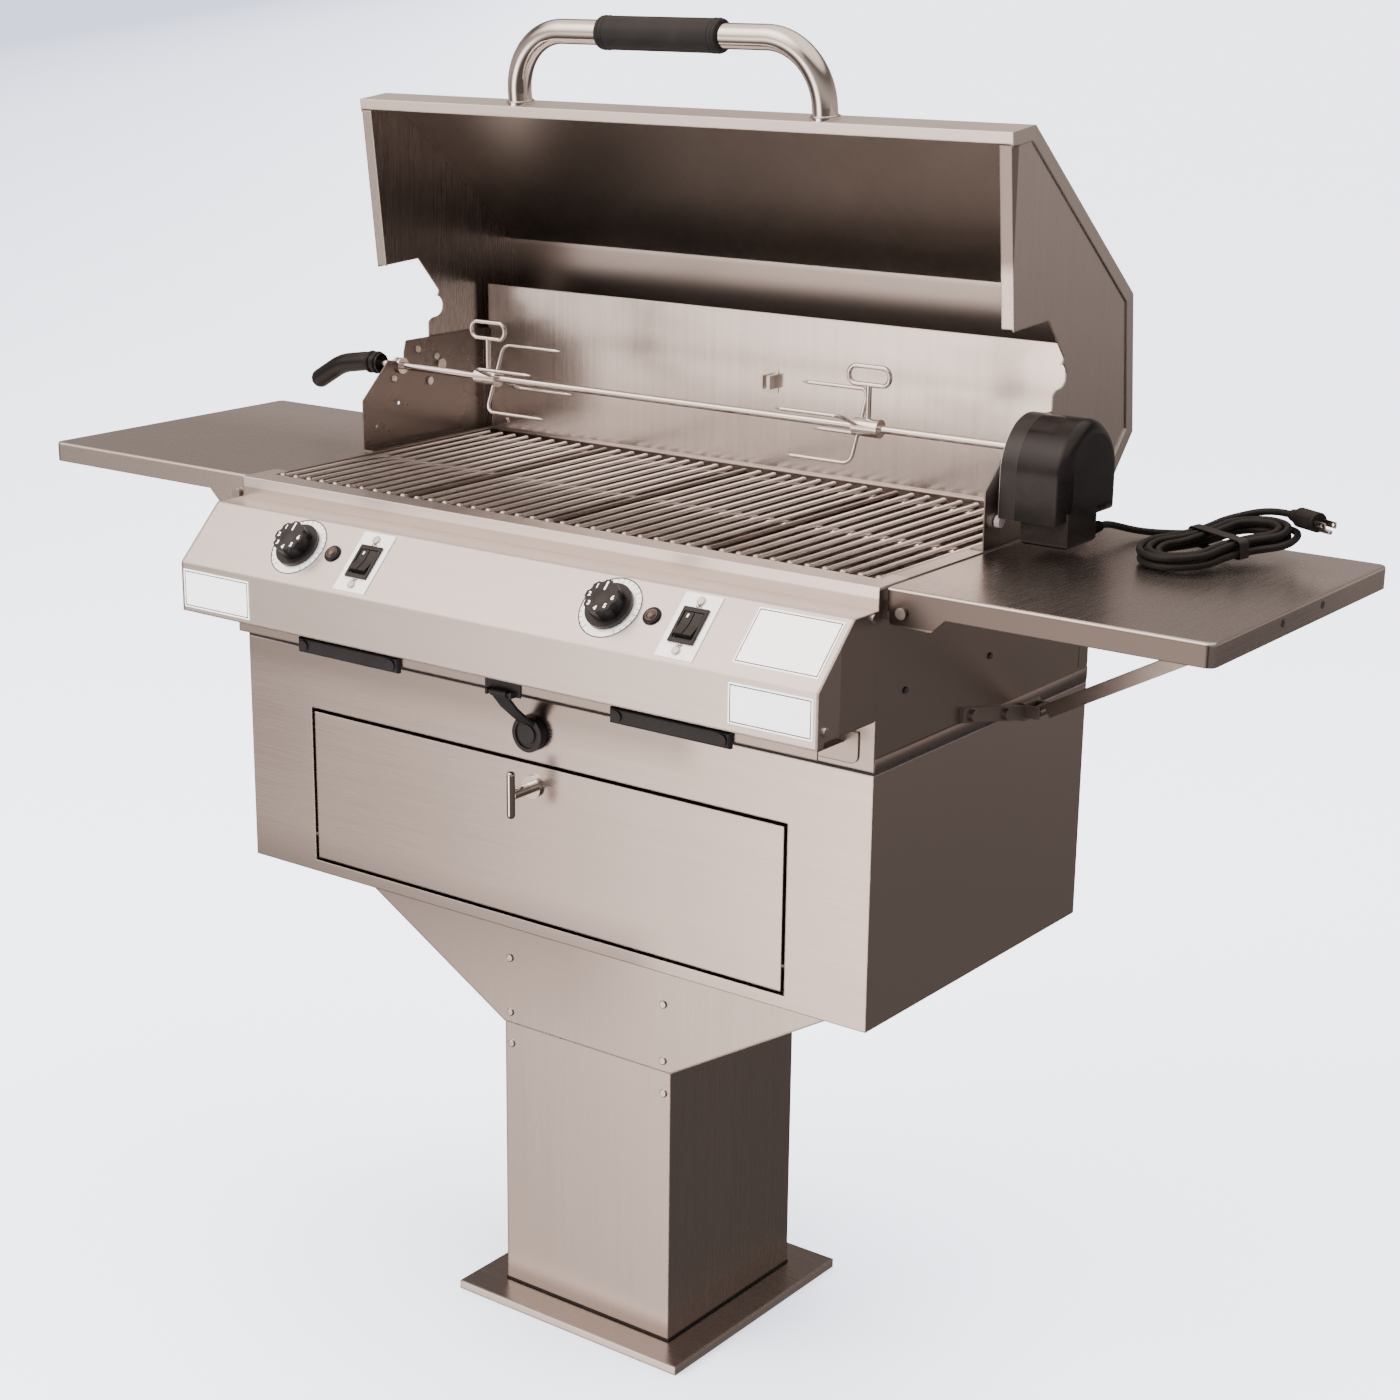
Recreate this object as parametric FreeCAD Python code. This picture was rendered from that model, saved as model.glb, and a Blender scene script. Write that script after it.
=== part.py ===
import FreeCAD, Part
import math
import os

# Electric grill on a square pedestal, in millimetres, +Z up, front toward -Y, right side +X.
# The origin is the centre of the base plate's underside.

V = FreeCAD.Vector
os.makedirs("parts", exist_ok=True)

# Sheet and clearances
sheet_t = 1.5
running_fit = 0.05
slip_gap = 0.3
swing_gap = 0.8

# Pedestal
base_size = 305.0
base_t = 10.0
anchor_spacing = 150.0
anchor_hole_r = 7.0
conduit_r = 25.0
column_size = 228.0
column_t = 3.0
column_lap_h = 90.0
transition_z = 327.0
column_screw_x = 105.0
column_screw_up = (-25.0, 13.0, 77.0)

# Cabinet
body_w = 813.0
front_y = -200.0
back_y = 206.5
transition_h = 155.0
cabinet_h = 255.0
transition_top_in = 26.5
transition_flange = 20.0
door_w = 618.0
door_h = 168.0
door_up = 17.0
door_gap = 4.0
door_depth = 12.0
frame_depth = 13.0
door_pin_up = 24.0
door_pin_r = 2.5
door_pin_inset = 6.0
latch_up = 145.0
latch_shaft_r = 4.0
latch_base_r = 12.0
latch_bar_l = 42.0
latch_stand = 35.0
cam_reach = 38.0

# Body and control panel
body_h = 177.7
neck_h = 3.0
neck_inset = 1.0
seam_flange = 10.0
lip_drop = 21.7
ledge_depth = 38.6
slope_len = 79.0
slope_deg = 45.0
panel_bottom_up = 47.0
panel_return = 9.0
rim_front = 28.0
rim_side = 18.5
rim_back = 17.0
knob_x = (-260.0, 150.0)
knob_s = 35.6
knob_r = 25.0
knob_h = 19.0
knob_grip_r = 18.5
knob_skirt_h = 4.0
dial_r = 34.0
dial_t = 1.2
shaft_r = 3.0
indicator_x = (-212.0, 199.0)
indicator_r = 6.5
control_case_w = 44.0
control_case_h = 28.0
switch_x = (-165.0, 244.0)
switch_case_h = 26.0
switch_w = 43.0
switch_l = 71.0
switch_s = 39.0
rocker_w = 21.0
rocker_l = 26.0
rocker_tilt = 8.0
cap_screw_top = (9.7, 5.5)
cap_screw_low = (11.0, 15.0)
label_t = 0.6
slope_label_w = 93.0
slope_label_l = 60.5
slope_label_in = 7.5
slope_label_drop = 5.0
lower_label_w = 92.0
lower_label_h = 39.0
lower_label_in = 5.5
lower_label_up = 8.0
name_plate_w = 97.0
name_plate_h = 41.0
name_plate_in = 3.5
name_plate_up = 5.0

# Drip tray
tray_side_room = 27.0
tray_up = 12.0
tray_h = 24.0
tray_back_room = 26.5
tray_front_lap = 12.0
tray_front_up = 8.0
tray_front_h = 31.0
tray_front_round = 8.0
tray_ledge_up = 29.0
tray_lip_out = 45.0
tray_lip_h = 9.5
grip_x = (-209.0, 209.0)
grip_l = 142.0
grip_h = 16.0
arm_stand = 6.0
arm_drop = 11.0
pad_drop = 35.0
pad_r = 19.0
strap_w = 20.0

# Grates and elements
grate_count = 4
rods_per_grate = 10
grate_side_room = 13.0
grate_rod_r = 3.2
grate_front_room = 33.0
grate_back_room = 27.5
grate_drop = 0.7
cross_r = 4.0
cross_front_in = 9.0
cross_back_in = 11.0
ledge_lap = 10.0
element_r = 4.0
element_drop = 38.7
element_pitch = 56.0
element_rows = 6
element_in_x = 24.0
element_side_room = 40.5
rest_x = (120.0, 300.0)
rest_h = 12.0
rest_t = 6.0

# Firebox
side_inset = 2.5
wing_front_y = -13.5
wing_low_up = 57.3
wing_step_y = 30.5
wing_step_up = 98.3
wing_top_up = 117.3
wing_foot = 14.5
back_wall_in = 10.5
back_wall_h = 169.3
back_wall_side_room = 11.5
screw_r = 2.0
screw_head_r = 4.5
screw_head_h = 2.2
wing_screw_offsets = ((38.0, 76.3), (79.0, 105.3), (111.0, 93.3))
bracket_feet_offsets = ((8.0, 25.3), (46.0, 47.3))
back_screw_in = 26.0
back_screw_up = 9.0
clip_x = 11.5
clip_up = 95.8
clip_w = 19.0
clip_h = 25.0
clip_prong_w = 4.0
clip_prong_h = 15.0
clip_prong_l = 12.0
clip_t = 1.2

# Hood, drawn closed and then swung open
pivot_y = 117.0
pivot_up = 83.3
hood_open_deg = 83.5
hood_rim_gap = 1.3
hood_lip_h = 42.0
hood_top_y = (0.0, 143.0)
hood_h = 236.0
hood_end_y = 198.0
hood_end_drop = 62.0
hood_side_gap = 1.5
hood_side_y = -14.0
hood_notch_r = 12.0
hood_flange = 14.0
hood_rim_return = 11.0
pivot_r = 4.0
stop_r = 4.5
handle_half = 192.0
handle_r = 12.7
handle_stand = 76.0
handle_bend = 64.0
handle_up = 17.0
handle_foot_r = 15.5
handle_foot_t = 3.0
grip_half = 76.0
grip_r = 17.0

# Rotisserie
spit_y = 50.0
spit_up = 89.8
spit_r = 4.0
spit_slot_r = 6.3
bushing_r = 6.2
collar_r = 9.0
coupling_r = 7.0
coupling_reach = 8.0
fork_x = (-270.0, 230.0)
fork_hub_r = 9.5
fork_hub_l = 30.0
tine_r = 2.0
tine_ring_r = 38.5
tine_l = 80.0
tine_turn = 67.0
thumb_r = 3.0
thumb_loop_z = 52.0
thumb_loop_w = 48.0
thumb_loop_h = 18.0
thumb_wire_r = 2.5
spit_handle_out = 31.5
spit_handle_r = 11.0

# Motor
bracket_out = 4.0
bracket_t = 2.0
bracket_w = 17.5
motor_w = 54.0
motor_round = 13.0
motor_y = (0.0, 104.0)
motor_shoulder_up = 73.3
motor_low_up = 30.3
motor_foot_up = 7.3
motor_foot_y = (6.0, 62.0)
relief_in = 44.0
relief_up = 16.3
relief_r = 6.0
relief_l = 24.0
relief_tip_r = 4.4

# Cord and plug
cord_r = 3.5
lead_route = (
    (472.0, 86.0, 931.0), (472.0, 98.0, 931.0), (474.0, 110.5, 928.7), (479.0, 122.0, 925.0),
    (487.0, 134.0, 921.0), (499.0, 146.0, 918.4), (515.0, 156.0, 917.9), (533.0, 163.0, 919.0),
    (552.0, 168.5, 922.5), (572.0, 173.0, 928.0), (593.0, 176.0, 934.0), (611.3, 173.53, 937.0),
    (623.76, 167.18, 937.0),
)
hank_loops = 2.5
hank_step = 8.4
hank_end_x = 40.0
hank_end_r = 42.0
hank_waist_y = 120.0
hank_start = (630.0, 164.0, 937.0)
hank_turn = 63.0
hank_layer = 8.2
plug_l = 40.0
plug_r = 10.0
hank_end_lift = 7.0
prong_l = 17.0

# Shelves
shelf_gap = 2.5
shelf_w = 317.5
shelf_front_in = 10.0
shelf_back_in = 28.5
shelf_drop = 1.0
shelf_flange = 22.0
shelf_corner_r = 8.0
shelf_edge_r = 3.0
lug_l = 58.0
lug_drop = 13.0
hinge_out = 18.5
hinge_drop = 21.7
hinge_pin_r = 3.0
stay_y = 85.0
stay_foot_out = 14.5
stay_foot_drop = 0.0
stay_tip_in = 26.5
stay_tip_drop = 23.7
stay_w = 20.0
stay_t = 4.0
channel_h = 15.0
channel_t = 6.0
channel_front_y = -50.0
channel_front_up = 24.0
channel_back_y = 67.0

# Places worked out from the sizes above
body_half = body_w / 2
tray_half = body_half - sheet_t - tray_side_room
tray_front_half = tray_half + tray_front_lap
transition_top_half = body_half - transition_top_in
cabinet_z = transition_z + transition_h
seam_z = cabinet_z + cabinet_h
rim_z = seam_z + body_h
column_screw_z = [transition_z + up for up in column_screw_up]
door_z = cabinet_z + door_up
door_pin_z = door_z + door_pin_up
latch_z = door_z + latch_up
panel_bottom_z = seam_z + panel_bottom_up
tray_z = seam_z + tray_up
tray_front_z = seam_z + tray_front_up
tray_ledge_z = seam_z + tray_ledge_up
tray_lip_y = front_y - tray_lip_out
tray_back_y = back_y - tray_back_room
pad_z = seam_z - pad_drop
rod_pitch = (body_w - 2 * sheet_t - 2 * grate_side_room) / (grate_count * rods_per_grate)
grate_front_y = front_y + grate_front_room
grate_back_y = back_y - grate_back_room
grate_top_z = rim_z - grate_drop
cross_front_y = grate_front_y + cross_front_in
cross_back_y = grate_back_y - cross_back_in
element_z = rim_z - element_drop
element_out_x = body_half - element_side_room
wing_low_z = rim_z + wing_low_up
wing_step_z = rim_z + wing_step_up
wing_top_z = rim_z + wing_top_up
back_wall_y = back_y - back_wall_in
back_wall_z = rim_z + back_wall_h
back_wall_half = body_half - back_wall_side_room
wing_screw_places = [(y, rim_z + up) for y, up in wing_screw_offsets]
bracket_feet = [(y, rim_z + up) for y, up in bracket_feet_offsets]
clip_z = rim_z + clip_up
pivot_z = rim_z + pivot_up
hood_front_z = rim_z + hood_rim_gap
hood_top_z = hood_front_z + hood_h
hood_end_z = hood_top_z - hood_end_drop
spit_z = rim_z + spit_up
bracket_x = body_half + bracket_out
motor_x = bracket_x + bracket_w
coupling_end_x = motor_x + coupling_reach
spit_handle_x = -body_half - spit_handle_out
motor_shoulder_z = rim_z + motor_shoulder_up
motor_low_z = rim_z + motor_low_up
motor_foot_z = rim_z + motor_foot_up
relief_x = motor_x + relief_in
relief_z = rim_z + relief_up
shelf_in_x = body_half + shelf_gap
shelf_out_x = shelf_in_x + shelf_w
shelf_front_y = front_y + shelf_front_in
shelf_back_y = back_y - shelf_back_in
shelf_top_z = rim_z - shelf_drop
hinge_x = body_half + hinge_out
hinge_z = shelf_top_z - hinge_drop
stay_foot_x = body_half + stay_foot_out
stay_foot_z = seam_z - stay_foot_drop
stay_tip_x = shelf_out_x - stay_tip_in
stay_tip_z = shelf_top_z - stay_tip_drop
channel_front = (channel_front_y, seam_z + channel_front_up)
channel_back = (channel_back_y, stay_foot_z)
column_half = column_size / 2
ledge_z = rim_z - lip_drop
ledge_y = front_y - ledge_depth


def box(x0, x1, y0, y1, z0, z1):
    """Block between two corners."""
    return Part.makeBox(x1 - x0, y1 - y0, z1 - z0, V(x0, y0, z0))


def bar(start, end, radius):
    """Round bar between two points."""
    start = V(*start)
    run = V(*end) - start
    return Part.makeCylinder(radius, run.Length, start, run)


def joined(shapes):
    """One solid from touching pieces."""
    return shapes[0].multiFuse(shapes[1:]).removeSplitter()


def mirrored(shape):
    """The same shape on the other side of the grill."""
    return shape.mirror(V(0, 0, 0), V(1, 0, 0))


def save(name, shapes):
    """Write one sub-part, made of one or more separate solids."""
    solids = [solid for shape in shapes for solid in shape.Solids]
    shape = solids[0] if len(solids) == 1 else Part.makeCompound(solids)
    if not shape.isValid():
        print("not valid:", name)
    shape.exportStep("parts/" + name + ".step")


def prism(points, axis, low, high):
    """Outline in the plane across an axis, drawn out along it. Points are (y, z), (x, z) or (x, y)."""
    if axis == "x":
        corners = [V(low, a, b) for a, b in points]
        run = V(high - low, 0, 0)
    elif axis == "y":
        corners = [V(a, low, b) for a, b in points]
        run = V(0, high - low, 0)
    else:
        corners = [V(a, b, low) for a, b in points]
        run = V(0, 0, high - low)
    return Part.Face(Part.makePolygon(corners + corners[:1])).extrude(run)


def folded(points, thick, low, high):
    """Bent sheet whose section in (y, z) follows a line, with the thickness on its right-hand side."""
    inner = []
    for i, here in enumerate(points):
        before = points[i - 1] if i else None
        after = points[i + 1] if i + 1 < len(points) else None
        normals = []
        for a, b in ((before, here), (here, after)):
            if a and b:
                length = math.hypot(b[0] - a[0], b[1] - a[1])
                normals.append(((b[1] - a[1]) / length, -(b[0] - a[0]) / length))
        n = (sum(v[0] for v in normals), sum(v[1] for v in normals))
        scale = len(normals) * thick / (n[0] ** 2 + n[1] ** 2)
        inner.append((here[0] + n[0] * scale, here[1] + n[1] * scale))
    return prism(points + inner[::-1], "x", low, high)


def bent(points, radii, closed=False):
    """Wire of straight runs joined by tangent arcs at the inner points."""
    points = [V(*p) for p in points]
    count = len(points)
    corners = range(count) if closed else range(1, count - 1)
    cuts = {}
    for i in corners:
        back = (points[i - 1] - points[i]).normalize()
        ahead = (points[(i + 1) % count] - points[i]).normalize()
        half = math.acos(max(-1, min(1, back.dot(ahead)))) / 2
        radius = radii[i] if isinstance(radii, (list, tuple)) else radii
        reach = radius / math.tan(half)
        middle = (back + ahead).normalize() * (radius / math.sin(half) - radius)
        cuts[i] = (points[i] + back * reach, points[i] + middle, points[i] + ahead * reach)
    edges = []
    last = None if closed else points[0]
    for i in corners:
        if last is not None and last.distanceToPoint(cuts[i][0]) > 1e-6:
            edges.append(Part.LineSegment(last, cuts[i][0]).toShape())
        edges.append(Part.Arc(*cuts[i]).toShape())
        last = cuts[i][2]
    end = cuts[0][0] if closed else points[-1]
    if last.distanceToPoint(end) > 1e-6:
        edges.append(Part.LineSegment(last, end).toShape())
    return Part.Wire(edges)


def tube(wire, radius):
    """Round bar along a wire."""
    start = wire.Edges[0]
    tangent = start.tangentAt(start.FirstParameter)
    ring = Part.Wire(Part.makeCircle(radius, start.valueAt(start.FirstParameter), tangent))
    return wire.makePipeShell([ring], True, False)


def screw(point, axis, shank):
    """Domed screw head standing on a face, with its shank going in along the axis."""
    point = V(*point)
    axis = V(*axis)
    head = Part.makeCylinder(screw_head_r, screw_head_h, point - axis * screw_head_h, axis)
    edge = [e for e in head.Edges if abs((e.CenterOfMass - point).dot(axis) + screw_head_h) < 0.01]
    head = head.makeFillet(0.6 * screw_head_h, edge)
    return head.fuse(Part.makeCylinder(screw_r, shank, point, axis))


def clear(shape, cutters):
    """Take cutters out of a shape."""
    for cutter in cutters:
        shape = shape.cut(cutter)
    return shape


def to_slope(shape):
    """Set a piece drawn flat (x, up the slope, out of the slope) on the control panel's face."""
    shape.rotate(V(0, 0, 0), V(1, 0, 0), slope_deg)
    shape.translate(V(0, ledge_y, ledge_z))
    return shape


def to_open(shape):
    """Swing a piece of the closed hood to its open place."""
    shape.rotate(V(0, pivot_y, pivot_z), V(1, 0, 0), -hood_open_deg)
    return shape


def make_pedestal():
    """Base plate, column and the flared transition under the cabinet."""
    half = base_size / 2
    plate = box(-half, half, -half, half, 0, base_t)
    holes = [Part.makeCylinder(conduit_r, base_t)]
    for x in (-anchor_spacing / 2, anchor_spacing / 2):
        for y in (-anchor_spacing / 2, anchor_spacing / 2):
            holes.append(Part.makeCylinder(anchor_hole_r, base_t, V(x, y, 0)))
    save("base_plate", [clear(plate, holes)])

    inner = column_half - column_t
    top = transition_z + column_lap_h
    screw_points = []
    for side in (-1, 1):
        for x in (-column_screw_x, column_screw_x):
            for z in column_screw_z:
                face = column_half + (sheet_t if z > transition_z else 0)
                screw_points.append(((x, side * face, z), (0, -side, 0)))
    shank = sheet_t + column_t + 3
    screw_holes = [Part.makeCylinder(screw_r + running_fit, 2 * shank, V(*p) - V(*a) * shank, V(*a))
                   for p, a in screw_points]
    column = box(-column_half, column_half, -column_half, column_half, base_t, top)
    column = column.cut(box(-inner, inner, -inner, inner, base_t, top))
    save("column", [clear(column, screw_holes)])
    save("column_screws", [screw(p, a, shank) for p, a in screw_points])

    outline = [(-column_half, transition_z), (column_half, transition_z),
               (transition_top_half, cabinet_z), (-transition_top_half, cabinet_z)]
    for name, side in (("transition_front", -1), ("transition_back", 1)):
        near, far = sorted((side * column_half, side * (column_half + sheet_t)))
        plate = prism(outline, "y", near, far)
        near, far = sorted((side * column_half, side * (column_half - transition_flange)))
        flange_half = transition_top_half - 3 * sheet_t
        flange = box(-flange_half, flange_half, near, far, cabinet_z - sheet_t, cabinet_z)
        save(name, [clear(joined([plate, flange]), screw_holes)])
    rise = cabinet_z - transition_z
    run = transition_top_half - column_half
    lift = sheet_t * math.hypot(rise, run) / run
    top_z = cabinet_z - sheet_t
    slope = [(column_half, transition_z), (transition_top_half - run / rise * sheet_t, top_z),
             (transition_top_half - run / rise * (sheet_t + lift), top_z), (column_half, transition_z + lift)]
    side = prism(slope, "y", -column_half, column_half)
    save("transition_sides", [mirrored(side), side])


def make_cabinet():
    """Cabinet box with its framed opening, the drop-down door and the wing latch."""
    shell = box(-body_half, body_half, front_y, back_y, cabinet_z, seam_z)
    shell = shell.cut(box(-body_half + sheet_t, body_half - sheet_t, front_y + sheet_t, back_y - sheet_t,
                          cabinet_z + sheet_t, seam_z))
    half = door_w / 2 + door_gap
    low = door_z - door_gap
    high = door_z + door_h + door_gap
    frame = box(-half - sheet_t, half + sheet_t, front_y, front_y + frame_depth,
                low - sheet_t, high + sheet_t)
    opening = box(-half, half, front_y, front_y + frame_depth, low, high)
    pin_y = front_y + door_pin_inset
    pin_line = bar((-body_half + sheet_t, pin_y, door_pin_z), (body_half - sheet_t, pin_y, door_pin_z),
                   door_pin_r + running_fit)
    conduit = Part.makeCylinder(conduit_r, sheet_t, V(0, 0, cabinet_z))
    save("cabinet_shell", [clear(shell.fuse(frame), [opening, pin_line, conduit] + channel_bolt_holes())])

    pin = bar((half - door_gap - 8, pin_y, door_pin_z), (half + sheet_t, pin_y, door_pin_z), door_pin_r)
    head = bar((half + sheet_t, pin_y, door_pin_z), (half + sheet_t + 2, pin_y, door_pin_z), door_pin_r + 1.5)
    pin = pin.fuse(head)
    save("door_hinge_pins", [mirrored(pin), pin])

    half = door_w / 2
    pan = box(-half, half, front_y, front_y + door_depth, door_z, door_z + door_h)
    hollow = box(-half + sheet_t, half - sheet_t, front_y + sheet_t, front_y + door_depth,
                 door_z + sheet_t, door_z + door_h - sheet_t)
    shaft_hole = bar((0, front_y - 1, latch_z), (0, front_y + 3, latch_z), latch_shaft_r + running_fit)
    save("cabinet_door", [clear(pan, [hollow, pin_line, shaft_hole])])

    bar_y = front_y - latch_stand
    cam_y = front_y + frame_depth + swing_gap
    base = bar((0, front_y - slip_gap, latch_z), (0, front_y - 4, latch_z), latch_base_r)
    hub = bar((0, bar_y, latch_z), (0, front_y - 4, latch_z), 6)
    shaft = bar((0, front_y - slip_gap, latch_z), (0, cam_y + 2, latch_z), latch_shaft_r)
    grip = bar((0, bar_y, latch_z - latch_bar_l / 2), (0, bar_y, latch_z + latch_bar_l / 2), 4.5)
    tips = [Part.makeSphere(4.5, V(0, bar_y, latch_z + s * latch_bar_l / 2)) for s in (-1, 1)]
    cam = box(-8, cam_reach, cam_y, cam_y + 2, latch_z - 8, latch_z + 8)
    save("door_latch", [joined([base, hub, shaft, grip, cam] + tips)])


def make_body():
    """Firebox body with its seam neck, rim, grate ledges and tray slot."""
    low = seam_z + neck_h
    wall = box(-body_half, body_half, front_y, back_y, low, rim_z)
    wall = wall.cut(box(-body_half + sheet_t, body_half - sheet_t, front_y + sheet_t, back_y - sheet_t,
                        low + sheet_t, rim_z - sheet_t))
    wall = wall.cut(box(-body_half + seam_flange, body_half - seam_flange, front_y + seam_flange,
                        back_y - seam_flange, low, low + sheet_t))
    mouth = box(-body_half + rim_side, body_half - rim_side, front_y + rim_front, back_y - rim_back,
                rim_z - sheet_t, rim_z)
    neck = box(-body_half + neck_inset, body_half - neck_inset, front_y + neck_inset, back_y - neck_inset,
               seam_z, low)
    reach = neck_inset + sheet_t
    neck = neck.cut(box(-body_half + reach, body_half - reach, front_y + reach, back_y - reach, seam_z, low))
    ledge_top = grate_top_z - 2 * grate_rod_r - 2 * cross_r + 0.6
    side_in = body_half - sheet_t
    front_ledge = box(-side_in, side_in, front_y + sheet_t, cross_front_y + ledge_lap,
                      ledge_top - sheet_t, ledge_top)
    back_ledge = box(-side_in, side_in, cross_back_y - ledge_lap, back_y - sheet_t,
                     ledge_top - sheet_t, ledge_top)
    slot = box(-tray_half - 2, tray_half + 2, front_y, front_y + seam_flange, tray_front_z + 1,
               tray_z + tray_h + 2)
    hinge_holes = [bar((-body_half, y, hinge_z), (body_half, y, hinge_z), screw_r + running_fit)
                   for y in hinge_screw_y()]
    body = joined([wall.cut(mouth), neck, front_ledge, back_ledge])
    save("body_shell", [clear(body, [slot] + channel_bolt_holes() + hinge_holes)])

    rail_in = tray_half - 12
    rail = box(rail_in, side_in - slip_gap, front_y + seam_flange, tray_back_y, tray_z - slip_gap - sheet_t,
               tray_z - slip_gap)
    side = box(side_in - slip_gap - sheet_t, side_in, front_y + seam_flange, tray_back_y,
               tray_z - slip_gap - sheet_t, tray_z + tray_h)
    rail = joined([rail, side])
    return [mirrored(rail), rail]


def channel_bolts():
    """Places of the bolts that hold the side channels, as (y, z)."""
    bolts = []
    for share in (0.12, 0.68):
        bolts.append(tuple(a + share * (b - a) for a, b in zip(channel_front, channel_back)))
    return bolts


def channel_bolt_holes():
    """Holes right through both side walls for the channel bolts."""
    return [bar((-body_half, y, z), (body_half, y, z), screw_r + running_fit) for y, z in channel_bolts()]


def hinge_screw_y():
    """Places of the screws that hold the shelf hinge brackets."""
    return [shelf_front_y + 22, shelf_back_y - 22]


def panel_profile():
    """Section of the control panel, from the body's front face to its lower return, as (y, z)."""
    drop = slope_len * math.sin(math.radians(slope_deg))
    nose = ledge_y - slope_len * math.cos(math.radians(slope_deg))
    return [(front_y, ledge_z), (ledge_y, ledge_z), (nose, ledge_z - drop), (nose, panel_bottom_z),
            (nose + panel_return, panel_bottom_z)]


def make_panel():
    """Control panel, its end caps, knobs, switches, indicators and bare plates."""
    profile = panel_profile()
    nose = profile[2][0]
    half = body_half - sheet_t
    panel = folded(profile[::-1], sheet_t, -half, half)
    holes = []
    for x in knob_x:
        holes.append(to_slope(bar((x, -knob_s, -4), (x, -knob_s, 1), 5)))
    for x in indicator_x:
        holes.append(to_slope(bar((x, -knob_s, -4), (x, -knob_s, 1), 5)))
    hw = rocker_w / 2 + 1
    hl = rocker_l / 2 + 2
    for x in switch_x:
        holes.append(to_slope(box(x - hw, x + hw, -switch_s - hl, -switch_s + hl, -4, 1)))
    plate_screws = [(x, -switch_s + s * (switch_l / 2 - 8)) for x in switch_x for s in (-1, 1)]
    for x, s in plate_screws:
        holes.append(to_slope(bar((x, s, -4), (x, s, 1), screw_r + running_fit)))
    save("control_panel", [clear(panel, holes)])

    cap = [(front_y, ledge_z), (ledge_y, ledge_z), profile[2], (nose, panel_bottom_z),
           (nose + panel_return, panel_bottom_z), (nose + panel_return + 2, panel_bottom_z + 5),
           (front_y - 2, panel_bottom_z + 5), (front_y, panel_bottom_z + 8)]
    cap_screws = [(front_y - cap_screw_top[0], ledge_z - cap_screw_top[1]),
                  (nose + cap_screw_low[0], panel_bottom_z + cap_screw_low[1])]
    cap_holes = [bar((half - 1, y, z), (body_half + 1, y, z), screw_r + running_fit) for y, z in cap_screws]
    cap = clear(prism(cap, "x", half, body_half), cap_holes)
    save("panel_ends", [mirrored(cap), cap])
    fixings = [screw((body_half, y, z), (-1, 0, 0), 8) for y, z in cap_screws]

    knobs = []
    for name, x in zip(("knob_left", "knob_right"), knob_x):
        foot = dial_t + swing_gap
        skirt = Part.makeCylinder(knob_r, knob_skirt_h, V(x, -knob_s, foot))
        grip = Part.makeCylinder(knob_grip_r, knob_h - knob_skirt_h, V(x, -knob_s, foot + knob_skirt_h))
        knob = skirt.fuse(grip)
        scallops = []
        for i in range(8):
            a = math.radians(45 * i + 22.5)
            at = V(x + (knob_grip_r + 3.5) * math.cos(a), -knob_s + (knob_grip_r + 3.5) * math.sin(a),
                   foot + knob_skirt_h)
            scallops.append(Part.makeCylinder(5.5, knob_h, at))
        bore = bar((x, -knob_s, 0), (x, -knob_s, knob_h - 4), shaft_r + running_fit)
        knobs.append((name, clear(knob, scallops + [bore])))
    for name, knob in knobs:
        save(name, [to_slope(knob)])
    rings = []
    bodies = []
    for x in knob_x:
        ring = Part.makeCylinder(dial_r, dial_t, V(x, -knob_s, 0))
        rings.append(to_slope(ring.cut(Part.makeCylinder(5, dial_t, V(x, -knob_s, 0)))))
        half = control_case_w / 2
        case = box(x - half, x + half, -knob_s - half, -knob_s + half, -sheet_t - control_case_h, -sheet_t)
        bodies.append(to_slope(case.fuse(bar((x, -knob_s, -sheet_t), (x, -knob_s, knob_h - 5), shaft_r))))
    save("dial_rings", rings)

    lamps = []
    for x in indicator_x:
        lens = Part.makeCylinder(indicator_r, 3, V(x, -knob_s, 0))
        stem = Part.makeCylinder(4.8, 14, V(x, -knob_s, -14))
        lamps.append(to_slope(lens.fuse(stem)))
    save("indicator_lamps", lamps)

    plates = []
    plate_fixings = []
    cases = []
    for x in switch_x:
        plate = box(x - switch_w / 2, x + switch_w / 2, -switch_s - switch_l / 2, -switch_s + switch_l / 2,
                    0, dial_t)
        plate = plate.cut(box(x - hw, x + hw, -switch_s - hl, -switch_s + hl, 0, dial_t))
        for s in (-1, 1):
            at = (x, -switch_s + s * (switch_l / 2 - 8))
            plate = plate.cut(bar(at + (0,), at + (dial_t,), screw_r + running_fit))
            plate_fixings.append(to_slope(screw(at + (dial_t,), (0, 0, -1), dial_t + sheet_t + 4)))
        plates.append(to_slope(plate))
        deep = -sheet_t - switch_case_h
        case = box(x - hw, x + hw, -switch_s - hl, -switch_s + hl, deep, -sheet_t - 5)
        ears = [box(x + a, x + b, -switch_s - hl, -switch_s + hl, deep, -sheet_t)
                for a, b in ((-hw - 2, -hw), (hw, hw + 2))]
        ridge = box(x - hw, x + hw, -switch_s - 1, -switch_s + 1, -sheet_t - 5, -4 - slip_gap)
        cases.append(to_slope(joined([case, ridge] + ears)))
    save("switch_plates", plates)
    save("panel_screws", [mirrored(s) for s in fixings] + fixings + plate_fixings)
    save("control_bodies", bodies + cases)
    for name, x in zip(("rocker_left", "rocker_right"), switch_x):
        end = rocker_l / 2
        outline = [(-end, -4), (end, -4), (end, 4.5), (0, 2.6), (-end, 4.5)]
        rocker = prism(outline, "x", x - rocker_w / 2, x + rocker_w / 2)
        rocker = rocker.cut(box(x - 0.6, x + 0.6, -end, end, 1.5, 5))
        rocker.rotate(V(x, 0, -4), V(1, 0, 0), -rocker_tilt)
        rocker.translate(V(0, -switch_s, 0))
        save(name, [to_slope(rocker)])

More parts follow.
